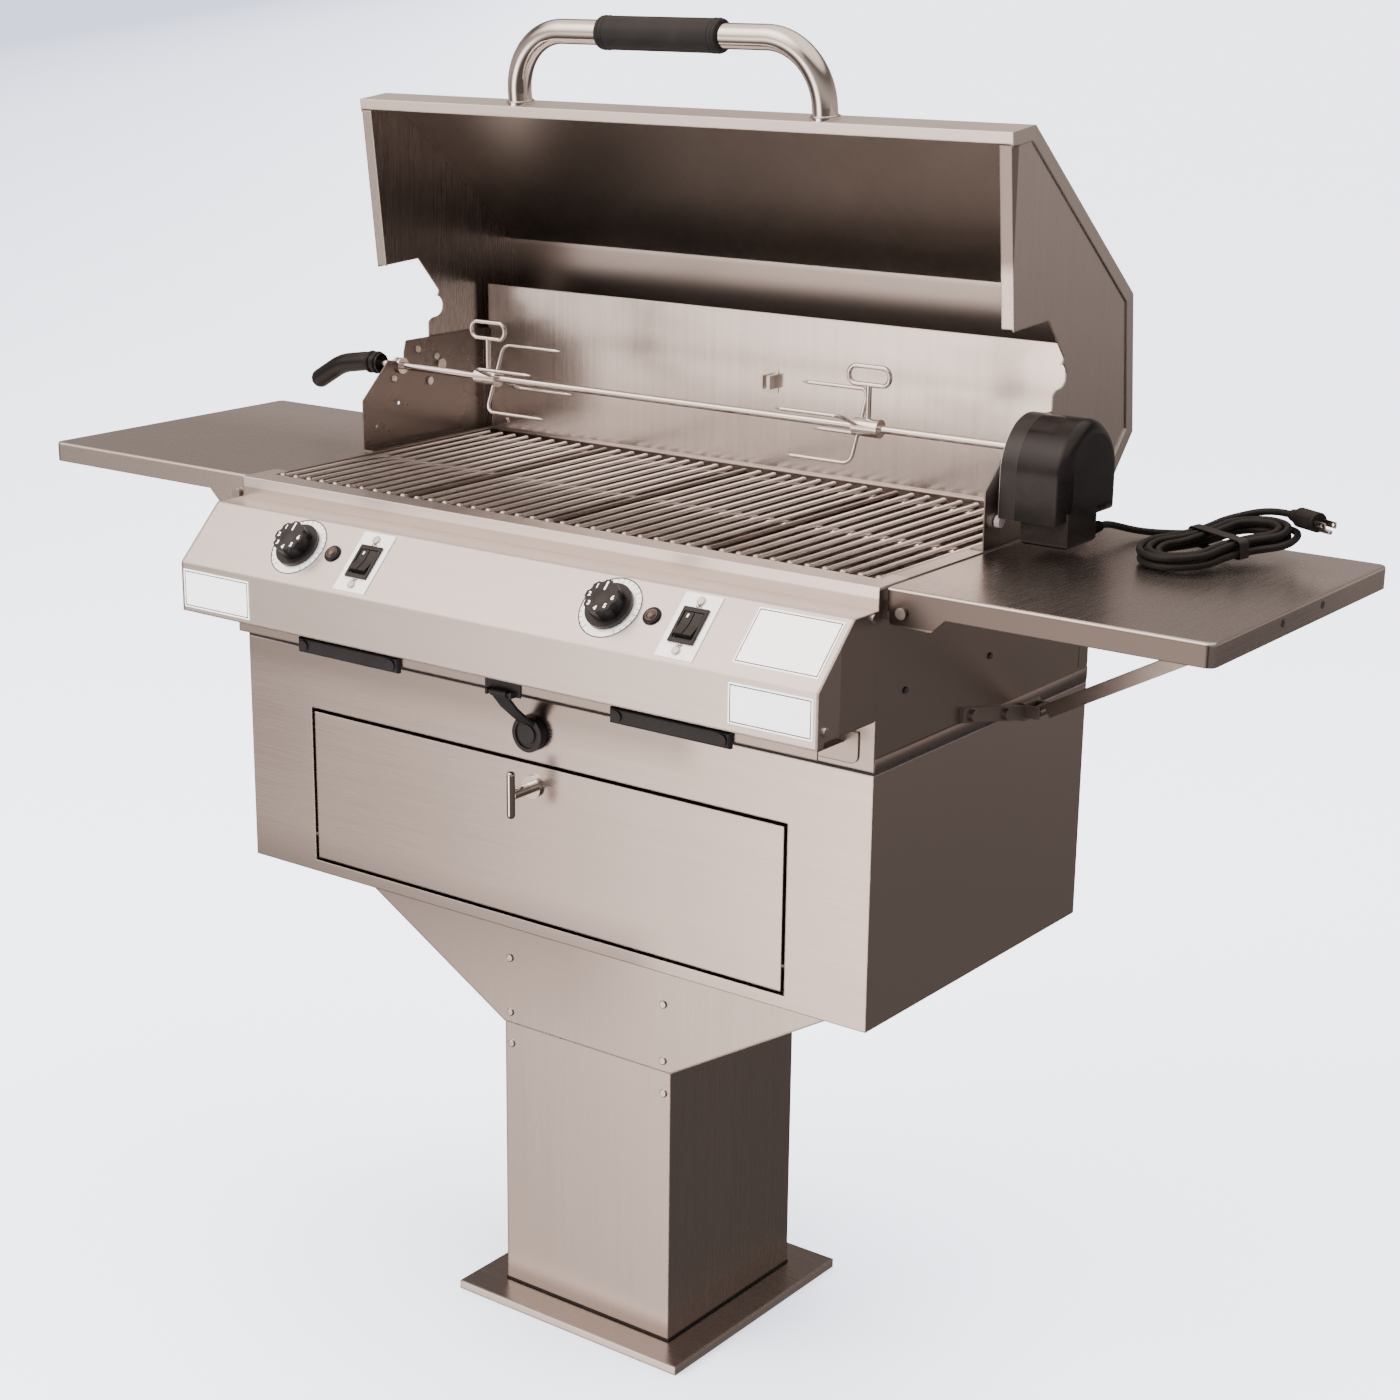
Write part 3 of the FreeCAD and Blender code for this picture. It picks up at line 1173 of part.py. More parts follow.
def make_shelves():
    """Side shelves, their hinge brackets, side channels and diagonal stays."""
    out_x = shelf_out_x
    low = shelf_top_z - shelf_flange
    top = shelf_block(out_x, shelf_front_y, shelf_back_y, shelf_top_z, 0)
    top = top.cut(shelf_block(out_x - sheet_t, shelf_front_y + sheet_t, shelf_back_y - sheet_t,
                              shelf_top_z - sheet_t, sheet_t))
    lug_x = shelf_in_x + 2.5
    lug = [(lug_x, shelf_top_z - 3), (lug_x, low - lug_drop + 3), (lug_x + 3, low - lug_drop),
           (lug_x + lug_l - 14, low - lug_drop), (lug_x + lug_l, low), (lug_x + lug_l, low + 3)]
    lugs = [prism(lug, "y", y, y + sheet_t) for y in (shelf_front_y, shelf_back_y - sheet_t)]
    keeper = box(stay_tip_x - 26, stay_tip_x + 2, stay_y - 18, stay_y + 18, stay_tip_z + stay_t + 1.2,
                 shelf_top_z - sheet_t)
    pin_hole = bar((hinge_x, shelf_front_y, hinge_z), (hinge_x, shelf_back_y, hinge_z),
                   hinge_pin_r + running_fit)
    slots = [bar((out_x - sheet_t, y, hinge_z + 12), (out_x, y, hinge_z + 12), 3) for y in (-54, 30)]
    shelf = clear(joined([top, keeper] + lugs), [pin_hole] + slots)
    save("shelf_left", [mirrored(shelf)])
    save("shelf_right", [shelf])

    brackets = []
    for y, way in ((shelf_front_y, 1), (shelf_back_y, -1)):
        ear_y = y + way * (sheet_t + slip_gap)
        ear = box(body_half, hinge_x + 7, min(ear_y, ear_y + way * 3), max(ear_y, ear_y + way * 3),
                  hinge_z - 9, hinge_z + 9)
        pad = box(body_half, body_half + 2, min(ear_y, ear_y + way * 28), max(ear_y, ear_y + way * 28),
                  hinge_z - 9, hinge_z + 9)
        pin = bar((hinge_x, y - way * 2, hinge_z), (hinge_x, ear_y + way * 3, hinge_z), hinge_pin_r)
        head = bar((hinge_x, y - way * 4, hinge_z), (hinge_x, y - way * slip_gap, hinge_z), 5.5)
        screw_y = y + way * 22
        bolt = bar((body_half - 4, screw_y, hinge_z), (body_half + 4, screw_y, hinge_z), screw_r)
        bolt_head = bar((body_half + 2, screw_y, hinge_z), (body_half + 4, screw_y, hinge_z), screw_head_r)
        brackets.append(joined([ear, pad, pin, head, bolt, bolt_head]))
    save("shelf_hinges", [mirrored(b) for b in brackets] + brackets)

    (y0, z0), (y1, z1) = channel_front, channel_back
    half = channel_h / 2
    outline = [(y0, z0 - half), (y1, z1 - half), (y1, z1 + half), (y0, z0 + half)]
    rail = prism(outline, "x", body_half, body_half + channel_t)
    ear_x = body_half + channel_t
    knuckle = box(body_half, ear_x, y1, stay_y + stay_w / 2 + 4, stay_foot_z - 9, stay_foot_z + 9)
    ears = [box(ear_x, stay_foot_x + 5, a, b, stay_foot_z - 6, stay_foot_z + 6)
            for a, b in ((stay_y - stay_w / 2 - 4, stay_y - stay_w / 2 - slip_gap),
                         (stay_y + stay_w / 2 + slip_gap, stay_y + stay_w / 2 + 4))]
    pin = bar((stay_foot_x, stay_y - stay_w / 2 - 4, stay_foot_z),
              (stay_foot_x, stay_y + stay_w / 2 + 4, stay_foot_z), hinge_pin_r)
    bolts = []
    for y, z in channel_bolts():
        bolts.append(bar((body_half - sheet_t, y, z), (ear_x, y, z), screw_r))
        bolts.append(bar((ear_x, y, z), (ear_x + 4, y, z), 6))
    channel = joined([rail, knuckle, pin] + ears + bolts)
    save("shelf_channels", [mirrored(channel), channel])

    run = V(stay_tip_x - stay_foot_x, 0, stay_tip_z - stay_foot_z)
    length = run.Length
    strap = box(0, length, stay_y - stay_w / 2, stay_y + stay_w / 2, 0, stay_t)
    strap = strap.makeFillet(6, [e for e in strap.Edges if abs(e.CenterOfMass.x - length) < 0.01
                                 and abs(e.CenterOfMass.y - stay_y) > 1])
    web = box(12, length - 16, stay_y - stay_w / 2, stay_y - stay_w / 2 + 2, -10, 0)
    eye = bar((0, stay_y - stay_w / 2, 0), (0, stay_y + stay_w / 2, 0), 6)
    stay = joined([strap, web, eye])
    stay = stay.cut(bar((0, stay_y - stay_w, 0), (0, stay_y + stay_w, 0), hinge_pin_r + running_fit))
    tilt = math.degrees(math.atan2(run.z, run.x))
    stay.rotate(V(0, 0, 0), V(0, 1, 0), -tilt)
    stay.translate(V(stay_foot_x, 0, stay_foot_z))
    save("shelf_stay_left", [mirrored(stay)])
    save("shelf_stay_right", [stay])


make_pedestal()
make_cabinet()
tray_runners = make_body()
make_panel()
make_tray()
make_grates()
make_elements(tray_runners)
make_firebox()
make_hood()
make_spit()
make_motor()
make_cord()
make_shelves()
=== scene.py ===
import math
import bmesh
import bpy
from mathutils import Matrix, Vector


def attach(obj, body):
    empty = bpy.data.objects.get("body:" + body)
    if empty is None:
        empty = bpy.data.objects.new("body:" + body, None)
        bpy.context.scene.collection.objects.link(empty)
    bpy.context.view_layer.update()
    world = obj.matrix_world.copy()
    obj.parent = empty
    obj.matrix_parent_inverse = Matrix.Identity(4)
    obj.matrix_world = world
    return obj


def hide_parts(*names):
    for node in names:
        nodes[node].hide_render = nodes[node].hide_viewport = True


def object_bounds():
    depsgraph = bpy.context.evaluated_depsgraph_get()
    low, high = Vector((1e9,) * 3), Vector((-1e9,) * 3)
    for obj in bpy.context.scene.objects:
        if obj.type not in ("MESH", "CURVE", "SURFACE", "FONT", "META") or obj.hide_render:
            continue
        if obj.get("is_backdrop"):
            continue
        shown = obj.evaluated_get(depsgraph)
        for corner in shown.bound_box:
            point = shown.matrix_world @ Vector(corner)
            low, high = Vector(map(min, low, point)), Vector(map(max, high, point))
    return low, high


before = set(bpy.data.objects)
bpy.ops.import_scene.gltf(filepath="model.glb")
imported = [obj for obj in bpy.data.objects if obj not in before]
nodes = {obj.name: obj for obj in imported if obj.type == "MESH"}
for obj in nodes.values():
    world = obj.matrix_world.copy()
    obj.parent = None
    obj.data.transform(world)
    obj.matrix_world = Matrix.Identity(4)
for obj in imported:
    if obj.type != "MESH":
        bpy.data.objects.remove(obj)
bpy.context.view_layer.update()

# Sizes of the grill, in millimetres, as in the part's source
body_half = 406.5
front_y = -200.0
back_y = 206.5
column_half = 114.0
seam_z = 737.0
sunk = 0.1
rivet_y = (4.0, -150.0, 158.0)
rivet_z = 808.0
rivet_r = 3.4
slit_y = (186.0, 187.6)
slit_z = (757.0, 778.0)
ledge_y = -238.6
ledge_z = 893.0
slope_deg = 45.0
panel_nose_y = -294.46
panel_low_z = 784.0
border_wide = 1.0
knob_x = {"l": -260.0, "r": 150.0}
knob_s = 35.6
knob_top = 21.0
figure_r = 13.6
figure_size = 6.6
dial_r = 34.0
dial_t = 1.2
switch_x = {"l": -165.0, "r": 244.0}
switch_s = 39.0
switch_frame = (14.5, 19.5)
switch_window = (11.3, 14.6)
legend_s = 21.9
legend_size = 4.2
indicator_x = (-212.0, 199.0)
dome_r = 5.5
bezel_r = 7.9
rod_pitch = 19.6
rod_span = 196.0
rod_front_y = -167.0
rod_z = 910.8
rod_tip_r = 4.3
rods_a_grate = 10
shelf_out_x = 726.5
shelf_top_z = 913.7
shelf_hole_y = (-54.0, 30.0)
shelf_hole_drop = 9.7
shelf_hole_r = 3.7
pivot = (117.0, 998.0)
hood_open_deg = 83.5
handle_half = 192.0
handle_r = 12.7
handle_stand = 76.0
handle_z = 933.0
band_r = 16.4
band_x = (71.0, 66.0)
cord_r = 3.5
relief_at = (472.0, 62.0, 931.0)
relief_l = 24.0
relief_r = 6.2
relief_tip_r = 4.1
lead_route = (
    (472.0, 86.0, 931.0), (472.0, 98.0, 931.0), (474.0, 110.5, 928.7), (479.0, 122.0, 925.0),
    (487.0, 134.0, 921.0), (499.0, 146.0, 918.4), (515.0, 156.0, 917.9), (533.0, 163.0, 919.0),
    (552.0, 168.5, 922.5), (572.0, 173.0, 928.0), (593.0, 176.0, 934.0), (611.3, 173.53, 937.0),
    (623.76, 167.18, 937.0),
)
hank_loops = 2.5
hank_step = 8.4
hank_end_x = 40.0
hank_end_r = 42.0
hank_waist_y = 120.0
hank_start = (630.0, 164.0, 937.0)
hank_turn = 63.0
hank_layer = 8.2
hank_end_lift = 7.0
hank_lying_z = shelf_top_z + cord_r + 0.3
plug_l = 40.0
plug_margin = 1.6
blade_x = 6.3
tie_half = 38.5
tie_z = (-4.4, 12.8)
tie_bend = 4.2
tie_wall = 0.9


# Camera where the photograph was taken from: turn, tilt and roll in degrees, place in metres

camera_turn = (38.164, 16.642, 0.12)
camera_at = (1.6140, -2.1303, 1.4693)
camera_film = 36.0
camera_lens = 66.74
camera_shift = (0.0656, 0.0126)


def place_camera():
    """The camera, from its fitted place, turn, tilt and roll."""
    yaw, pitch, roll = (math.radians(a) for a in camera_turn)
    ahead = Vector((-math.sin(yaw) * math.cos(pitch), math.cos(yaw) * math.cos(pitch), -math.sin(pitch)))
    right = Vector((math.cos(yaw), math.sin(yaw), 0))
    up = right.cross(ahead)
    right, up = (math.cos(roll) * right + math.sin(roll) * up, math.cos(roll) * up - math.sin(roll) * right)
    bpy.ops.object.camera_add()
    camera = bpy.context.object
    turned = Matrix((right, up, -ahead)).transposed().to_4x4()
    camera.matrix_world = Matrix.Translation(camera_at) @ turned
    camera.data.sensor_width = camera_film
    camera.data.lens = camera_lens
    camera.data.shift_x, camera.data.shift_y = camera_shift
    camera.data.dof.use_dof = False
    camera.data.clip_end = 200
    bpy.context.scene.camera = camera


place_camera()


# Making pieces

def m(*sizes):
    """Millimetres as metres."""
    return tuple(size * 0.001 for size in sizes)


def alone(piece=None):
    """Leave nothing selected but this piece."""
    if bpy.context.mode != "OBJECT":
        bpy.ops.object.mode_set(mode="OBJECT")
    bpy.ops.object.select_all(action="DESELECT")
    if piece:
        piece.select_set(True)
        bpy.context.view_layer.objects.active = piece


def named(name):
    """Name the piece just added."""
    piece = bpy.context.object
    piece.name = name
    piece.data.name = name
    return piece


def settle(piece):
    """Put the piece's place, turn and size into its mesh."""
    alone(piece)
    bpy.ops.object.transform_apply(location=True, rotation=True, scale=True)
    return piece


def block(name, low, high):
    """Block between two corners, in millimetres."""
    alone()
    middle = [(a + b) / 2 for a, b in zip(low, high)]
    bpy.ops.mesh.primitive_cube_add(size=1, location=m(*middle))
    piece = named(name)
    piece.scale = m(*(b - a for a, b in zip(low, high)))
    return settle(piece)


def round_bar(name, start, end, radius, sides, end_radius=None):
    """Round or tapered bar between two points, in millimetres."""
    alone()
    start, end = Vector(m(*start)), Vector(m(*end))
    turn = (end - start).to_track_quat("Z", "Y").to_euler()
    far = radius if end_radius is None else end_radius
    bpy.ops.mesh.primitive_cone_add(vertices=sides, radius1=radius * 0.001, radius2=far * 0.001,
                                    depth=(end - start).length, location=(start + end) / 2, rotation=turn)
    return settle(named(name))


def ring(name, centre, axis, radius, thick, sides, around):
    """Round ring about an axis, in millimetres."""
    alone()
    turn = Vector(axis).to_track_quat("Z", "Y").to_euler()
    bpy.ops.mesh.primitive_torus_add(location=m(*centre), rotation=turn, major_segments=sides,
                                     minor_segments=around, major_radius=radius * 0.001,
                                     minor_radius=thick * 0.001)
    return settle(named(name))


def ball(name, centre, radius, sides, rings):
    """Ball about a point, in millimetres, with its faces in the same order each run."""
    alone()
    bpy.ops.mesh.primitive_uv_sphere_add(segments=sides, ring_count=rings, radius=radius * 0.001,
                                         location=m(*centre))
    piece = named(name)
    points = [tuple(point.co) for point in piece.data.vertices]
    faces = []
    for face in piece.data.polygons:
        corners = list(face.vertices)
        first = corners.index(min(corners))
        faces.append(corners[first:] + corners[:first])
    piece.data.clear_geometry()
    piece.data.from_pydata(points, [], sorted(faces))
    return piece


def pick(piece, wanted):
    """Open the piece for editing with the faces chosen whose normal passes a test."""
    alone(piece)
    bpy.ops.object.mode_set(mode="EDIT")
    bpy.ops.mesh.select_mode(type="FACE")
    bpy.ops.mesh.select_all(action="DESELECT")
    mesh = bmesh.from_edit_mesh(piece.data)
    for face in mesh.faces:
        face.select_set(wanted(face.normal))
    bmesh.update_edit_mesh(piece.data)


def smoothed(angle):
    """Smooth the shading of the piece just made, up to an angle between faces."""
    bpy.ops.object.shade_smooth_by_angle(angle=math.radians(angle))


def altered(piece, kind, **settings):
    """The piece with one modifier worked into its mesh."""
    alone(piece)
    modifier = piece.modifiers.new(kind, kind)
    for setting, value in settings.items():
        setattr(modifier, setting, value)
    bpy.ops.object.modifier_apply(modifier=modifier.name)
    return piece


def soften(piece, width, steps=2):
    """Round the edges that are sharper than 35 degrees."""
    altered(piece, "BEVEL", width=width * 0.001, segments=steps, limit_method="ANGLE",
            angle_limit=math.radians(35))
    smoothed(40)
    return piece


def cut(piece, tool):
    """Take one piece out of another."""
    altered(piece, "BOOLEAN", operation="DIFFERENCE", solver="EXACT", object=tool)
    bpy.data.objects.remove(tool)
    return piece


def joined(name, pieces, angle=None):
    """One piece from several, smoothed up to an angle where one is given."""
    alone(pieces[0])
    for piece in pieces:
        piece.select_set(True)
    bpy.ops.object.join()
    if angle:
        smoothed(angle)
    return named(name)


def moved(piece, matrix):
    """The piece turned and shifted by a matrix."""
    piece.matrix_world = matrix @ piece.matrix_world
    return settle(piece)


def on_slope():
    """From flat (x, up the slope, out of it) to the control panel's face."""
    turn = Matrix.Rotation(math.radians(slope_deg), 4, "X")
    return Matrix.Translation(m(0, ledge_y, ledge_z)) @ turn


def swung():
    """From the closed hood to the open one."""
    centre = Matrix.Translation(m(0, *pivot))
    return centre @ Matrix.Rotation(-math.radians(hood_open_deg), 4, "X") @ centre.inverted()


def fit(piece, body, finish):
    """Give the piece its finish and the body that it moves with."""
    piece.data.materials.clear()
    piece.data.materials.append(finish)
    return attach(piece, body)


def words(name, text, size, thick, matrix):
    """Plain raised figures lying on a face, in millimetres."""
    alone()
    bpy.ops.object.text_add()
    piece = bpy.context.object
    piece.data.body = text
    piece.data.size = size * 0.001
    piece.data.extrude = thick * 0.0005
    piece.data.offset = size * 0.00003
    piece.data.align_x = "CENTER"
    piece.data.align_y = "CENTER"
    piece.data.resolution_u = 3
    alone(piece)
    bpy.ops.object.convert(target="MESH")
    piece = named(name)
    return moved(piece, matrix)


# Finishes, with colours in linear light

def plain_finish(name, colour, metal, rough):
    """A new material, its node tree and its main shader."""
    finish = bpy.data.materials.new(name)
    finish.use_nodes = True
    tree = finish.node_tree
    shader = tree.nodes["Principled BSDF"]
    shader.inputs["Base Color"].default_value = (*colour, 1)
    shader.inputs["Metallic"].default_value = metal
    shader.inputs["Roughness"].default_value = rough
    return finish, tree, shader


def grain(tree, scale, stretch=(1, 1, 1), detail=3.0, rough=0.55, warp=0.0):
    """Noise on the piece's own coordinates, drawn out by a stretch."""
    where = tree.nodes.new("ShaderNodeTexCoord")
    shape = tree.nodes.new("ShaderNodeMapping")
    shape.inputs["Scale"].default_value = stretch
    tree.links.new(where.outputs["Object"], shape.inputs["Vector"])
    noise = tree.nodes.new("ShaderNodeTexNoise")
    noise.inputs["Scale"].default_value = scale
    noise.inputs["Detail"].default_value = detail
    noise.inputs["Roughness"].default_value = rough
    noise.inputs["Distortion"].default_value = warp
    tree.links.new(shape.outputs["Vector"], noise.inputs["Vector"])
    return noise.outputs["Fac"]


def spread(tree, value, low, high, start=0.3, end=0.7):
    """A value spread from one range over another."""
    ranged = tree.nodes.new("ShaderNodeMapRange")
    ranged.inputs["From Min"].default_value = start
    ranged.inputs["From Max"].default_value = end
    ranged.inputs["To Min"].default_value = low
    ranged.inputs["To Max"].default_value = high
    tree.links.new(value, ranged.inputs["Value"])
    return ranged.outputs["Result"]


def folded(tree, operation, *values):
    """Values added up or multiplied together."""
    total = values[0]
    for value in values[1:]:
        step = tree.nodes.new("ShaderNodeMath")
        step.operation = operation
        tree.links.new(total, step.inputs[0])
        tree.links.new(value, step.inputs[1])
        total = step.outputs[0]
    return total


def mixed(tree, value, first, second):
    """Colour between two tones by a value."""
    tones = tree.nodes.new("ShaderNodeMix")
    tones.data_type = "RGBA"
    tones.inputs["A"].default_value = (*first, 1)
    tones.inputs["B"].default_value = (*second, 1)
    tree.links.new(value, tones.inputs["Factor"])
    return tones.outputs["Result"]


def tinted(tree, shader, value, dark, light):
    """Give a shader a colour between two tones by a value."""
    tree.links.new(mixed(tree, value, dark, light), shader.inputs["Base Color"])


def bumped(tree, shader, value, strength, distance):
    """Relief from a value, in millimetres."""
    bump = tree.nodes.new("ShaderNodeBump")
    bump.inputs["Strength"].default_value = strength
    bump.inputs["Distance"].default_value = distance * 0.001
    tree.links.new(value, bump.inputs["Height"])
    tree.links.new(bump.outputs["Normal"], shader.inputs["Normal"])
    return bump


def brushed(name, colour, rough, way, smudge=0.05, line=0.10, relief=0.25, edge=2.0):
    """Brushed sheet: fine lines along one way, a slow change of tone and rounded bright edges."""
    finish, tree, steel = plain_finish(name, colour, 1.0, rough)
    across = 90.0
    stretch = {"x": (1, across, across), "y": (across, 1, across), "z": (across, across, 1),
               "slope": (across, 1, 1)}[way]
    fine = grain(tree, 9.0, stretch, 4.0, 0.7)
    broad = grain(tree, 1.6, stretch, 2.0, 0.6)
    cloud = grain(tree, 2.6, (1, 1, 1), 2.0, 0.5, 0.3)
    tone = folded(tree, "ADD", spread(tree, fine, 0.0, 0.36), spread(tree, broad, 0.0, 0.36),
                  spread(tree, cloud, 0.0, 0.28))
    dark = tuple(c * (1 - line) for c in colour)
    light = tuple(min(1.0, c * (1 + line)) for c in colour)
    tinted(tree, steel, tone, dark, light)
    dull = folded(tree, "ADD", spread(tree, fine, rough - 0.05, rough + 0.03),
                  spread(tree, cloud, 0.0, smudge))
    tree.links.new(dull, steel.inputs["Roughness"])
    bump = bumped(tree, steel, fine, relief, 0.05)
    if edge:
        turned = tree.nodes.new("ShaderNodeBevel")
        turned.inputs["Radius"].default_value = edge * 0.001
        tree.links.new(turned.outputs["Normal"], bump.inputs["Normal"])
    return finish


def within(tree, low, high, soft):
    """One inside a box with soft sides, in millimetres, and nothing outside it."""
    where = tree.nodes.new("ShaderNodeTexCoord")
    parts = tree.nodes.new("ShaderNodeSeparateXYZ")
    tree.links.new(where.outputs["Object"], parts.inputs["Vector"])
    sides = [spread(tree, parts.outputs[axis], 0.0, 1.0, start * 0.001, end * 0.001)
             for axis, a, b in zip("XYZ", low, high)
             for start, end in ((a - soft, a + soft), (b + soft, b - soft))]
    return folded(tree, "MULTIPLY", *sides)


def overlaid(finish, share, colour, dull):
    """Another colour and a duller skin laid over a finish where a share says."""
    tree = finish.node_tree
    shader = tree.nodes["Principled BSDF"]
    for socket, laid in (("Base Color", (*colour, 1)), ("Roughness", dull)):
        mix = tree.nodes.new("ShaderNodeMix")
        mix.data_type = "RGBA" if socket == "Base Color" else "FLOAT"
        old = shader.inputs[socket].links[0].from_socket
        tree.links.new(share, mix.inputs["Factor"])
        tree.links.new(old, mix.inputs["A"])
        mix.inputs["B"].default_value = laid
        tree.links.new(mix.outputs["Result"], shader.inputs[socket])


def cast_black(name, colour, rough, scale, relief, gloss=0.32, patch=0.10):
    """Black plastic, rubber or dark paint with a fine skin and worn, dusty patches."""
    finish, tree, skin = plain_finish(name, colour, 0.0, rough)
    pores = grain(tree, scale, (1, 1, 1), 3.0, 0.6)
    dust = grain(tree, 18.0, (1, 1, 1), 4.0, 0.6, 0.8)
    tinted(tree, skin, spread(tree, dust, 0.0, 1.0), colour, tuple(c * 1.5 + 0.002 for c in colour))
    dull = folded(tree, "ADD", spread(tree, pores, rough - 0.06, rough + 0.04), spread(tree, dust, 0.0, patch))
    tree.links.new(dull, skin.inputs["Roughness"])
    bumped(tree, skin, pores, relief, 0.12)
    skin.inputs["Specular IOR Level"].default_value = gloss
    return finish


front_steel = brushed("brushed_front_steel", (0.62, 0.56, 0.53), 0.30, "x", 0.04, 0.07)
cabinet_steel = brushed("brushed_cabinet_steel", (0.63, 0.57, 0.54), 0.24, "x", 0.05, 0.06, 0.12)
column_steel = brushed("brushed_column_steel", (0.60, 0.545, 0.515), 0.28, "z", 0.05, 0.06, 0.14, 3.0)
hood_steel = brushed("brushed_hood_steel", (0.68, 0.65, 0.63), 0.34, "slope", 0.02, 0.04, 0.015)
wing_steel = brushed("brushed_hood_side_steel", (0.62, 0.57, 0.545), 0.26, "z", 0.04, 0.05, 0.08)
# Painted light: the back wall's steel is a lighter copy of the brushed steel
wall_steel = brushed("wall_steel_painted_light", (0.82, 0.775, 0.75), 0.22, "slope", 0.03, 0.12, 0.35)
shelf_steel = brushed("brushed_shelf_steel", (0.62, 0.57, 0.545), 0.27, "y", 0.03, 0.02, 0.015, 1.5)
# Painted light: the control panel's steel is a lighter copy of the brushed steel
panel_steel = brushed("panel_steel_painted_light", (0.84, 0.785, 0.755), 0.32, "x", 0.04, 0.06, 0.25, 3.0)
# Painted shade: the base plate's steel is a darker copy of the brushed steel
base_steel = brushed("base_plate_steel_painted_shade", (0.26, 0.23, 0.215), 0.26, "x", 0.05, 0.08, 0.25, 3.0)
# Painted shade: the firebox sides' steel is a darker copy of the brushed steel
grill_wing_steel = brushed("grill_wing_steel_painted_shade", (0.26, 0.23, 0.215), 0.26, "slope", 0.05, 0.10, 0.2, 1.0)
stay_steel = brushed("brushed_stay_steel", (0.34, 0.305, 0.29), 0.34, "x", 0.06, 0.08, 0.15, 1.0)
inner_steel = brushed("plain_inner_steel", (0.42, 0.38, 0.36), 0.42, "y", 0.08, 0.10, 0.25, 1.0)
# Painted light: the grate rods' steel is a lighter copy of the bright steel
rod_steel = brushed("rod_steel_painted_light", (0.95, 0.89, 0.86), 0.27, "y", 0.05, 0.08, 0.1, 0)
spit_steel = brushed("bright_spit_steel", (0.83, 0.79, 0.76), 0.18, "x", 0.04, 0.06, 0.1, 0)
chrome = brushed("polished_handle_tube", (0.80, 0.76, 0.73), 0.10, "x", 0.04, 0.05, 0.05, 0)
plate_steel = brushed("bright_switch_plate", (0.92, 0.90, 0.88), 0.30, "y", 0.03, 0.04, 0.1, 0)
plate_steel.node_tree.nodes["Principled BSDF"].inputs["Metallic"].default_value = 0.45
screw_steel = brushed("bright_screw_steel", (0.74, 0.70, 0.67), 0.22, "z", 0.05, 0.06, 0.1, 0)
bracket_dark = cast_black("dark_bracket_paint", (0.010, 0.0085, 0.008), 0.34, 480.0, 0.06)
knob_black = cast_black("knob_black", (0.008, 0.0065, 0.006), 0.36, 700.0, 0.10)
gloss_black = cast_black("glossy_motor_black", (0.005, 0.004, 0.0038), 0.20, 90.0, 0.0, 0.22, 0.0)
grip_black = cast_black("handle_grip_black", (0.008, 0.0065, 0.006), 0.50, 520.0, 0.25, 0.25)
tray_black = cast_black("tray_grip_black", (0.010, 0.008, 0.0075), 0.40, 480.0, 0.15)
cord_black = cast_black("cord_rubber", (0.006, 0.005, 0.0045), 0.48, 600.0, 0.12, 0.18)
# Painted shade in the seams, slits, shelf holes and round the dials; also the printed borders on the plates
seam_dark = cast_black("painted_shade_and_print_dark", (0.012, 0.009, 0.008), 0.7, 300.0, 0.1)
element_black = cast_black("oxidised_element_sheath", (0.040, 0.030, 0.027), 0.55, 260.0, 0.3)

flank_in = 405.8
flank_out = 430
# Painted shade on the right front flanges of the hood and its sides
painted_shade_flange = ((385, -20, 1060), (420, 14, 1292), 0.8, (0.30, 0.265, 0.25), 0.34)
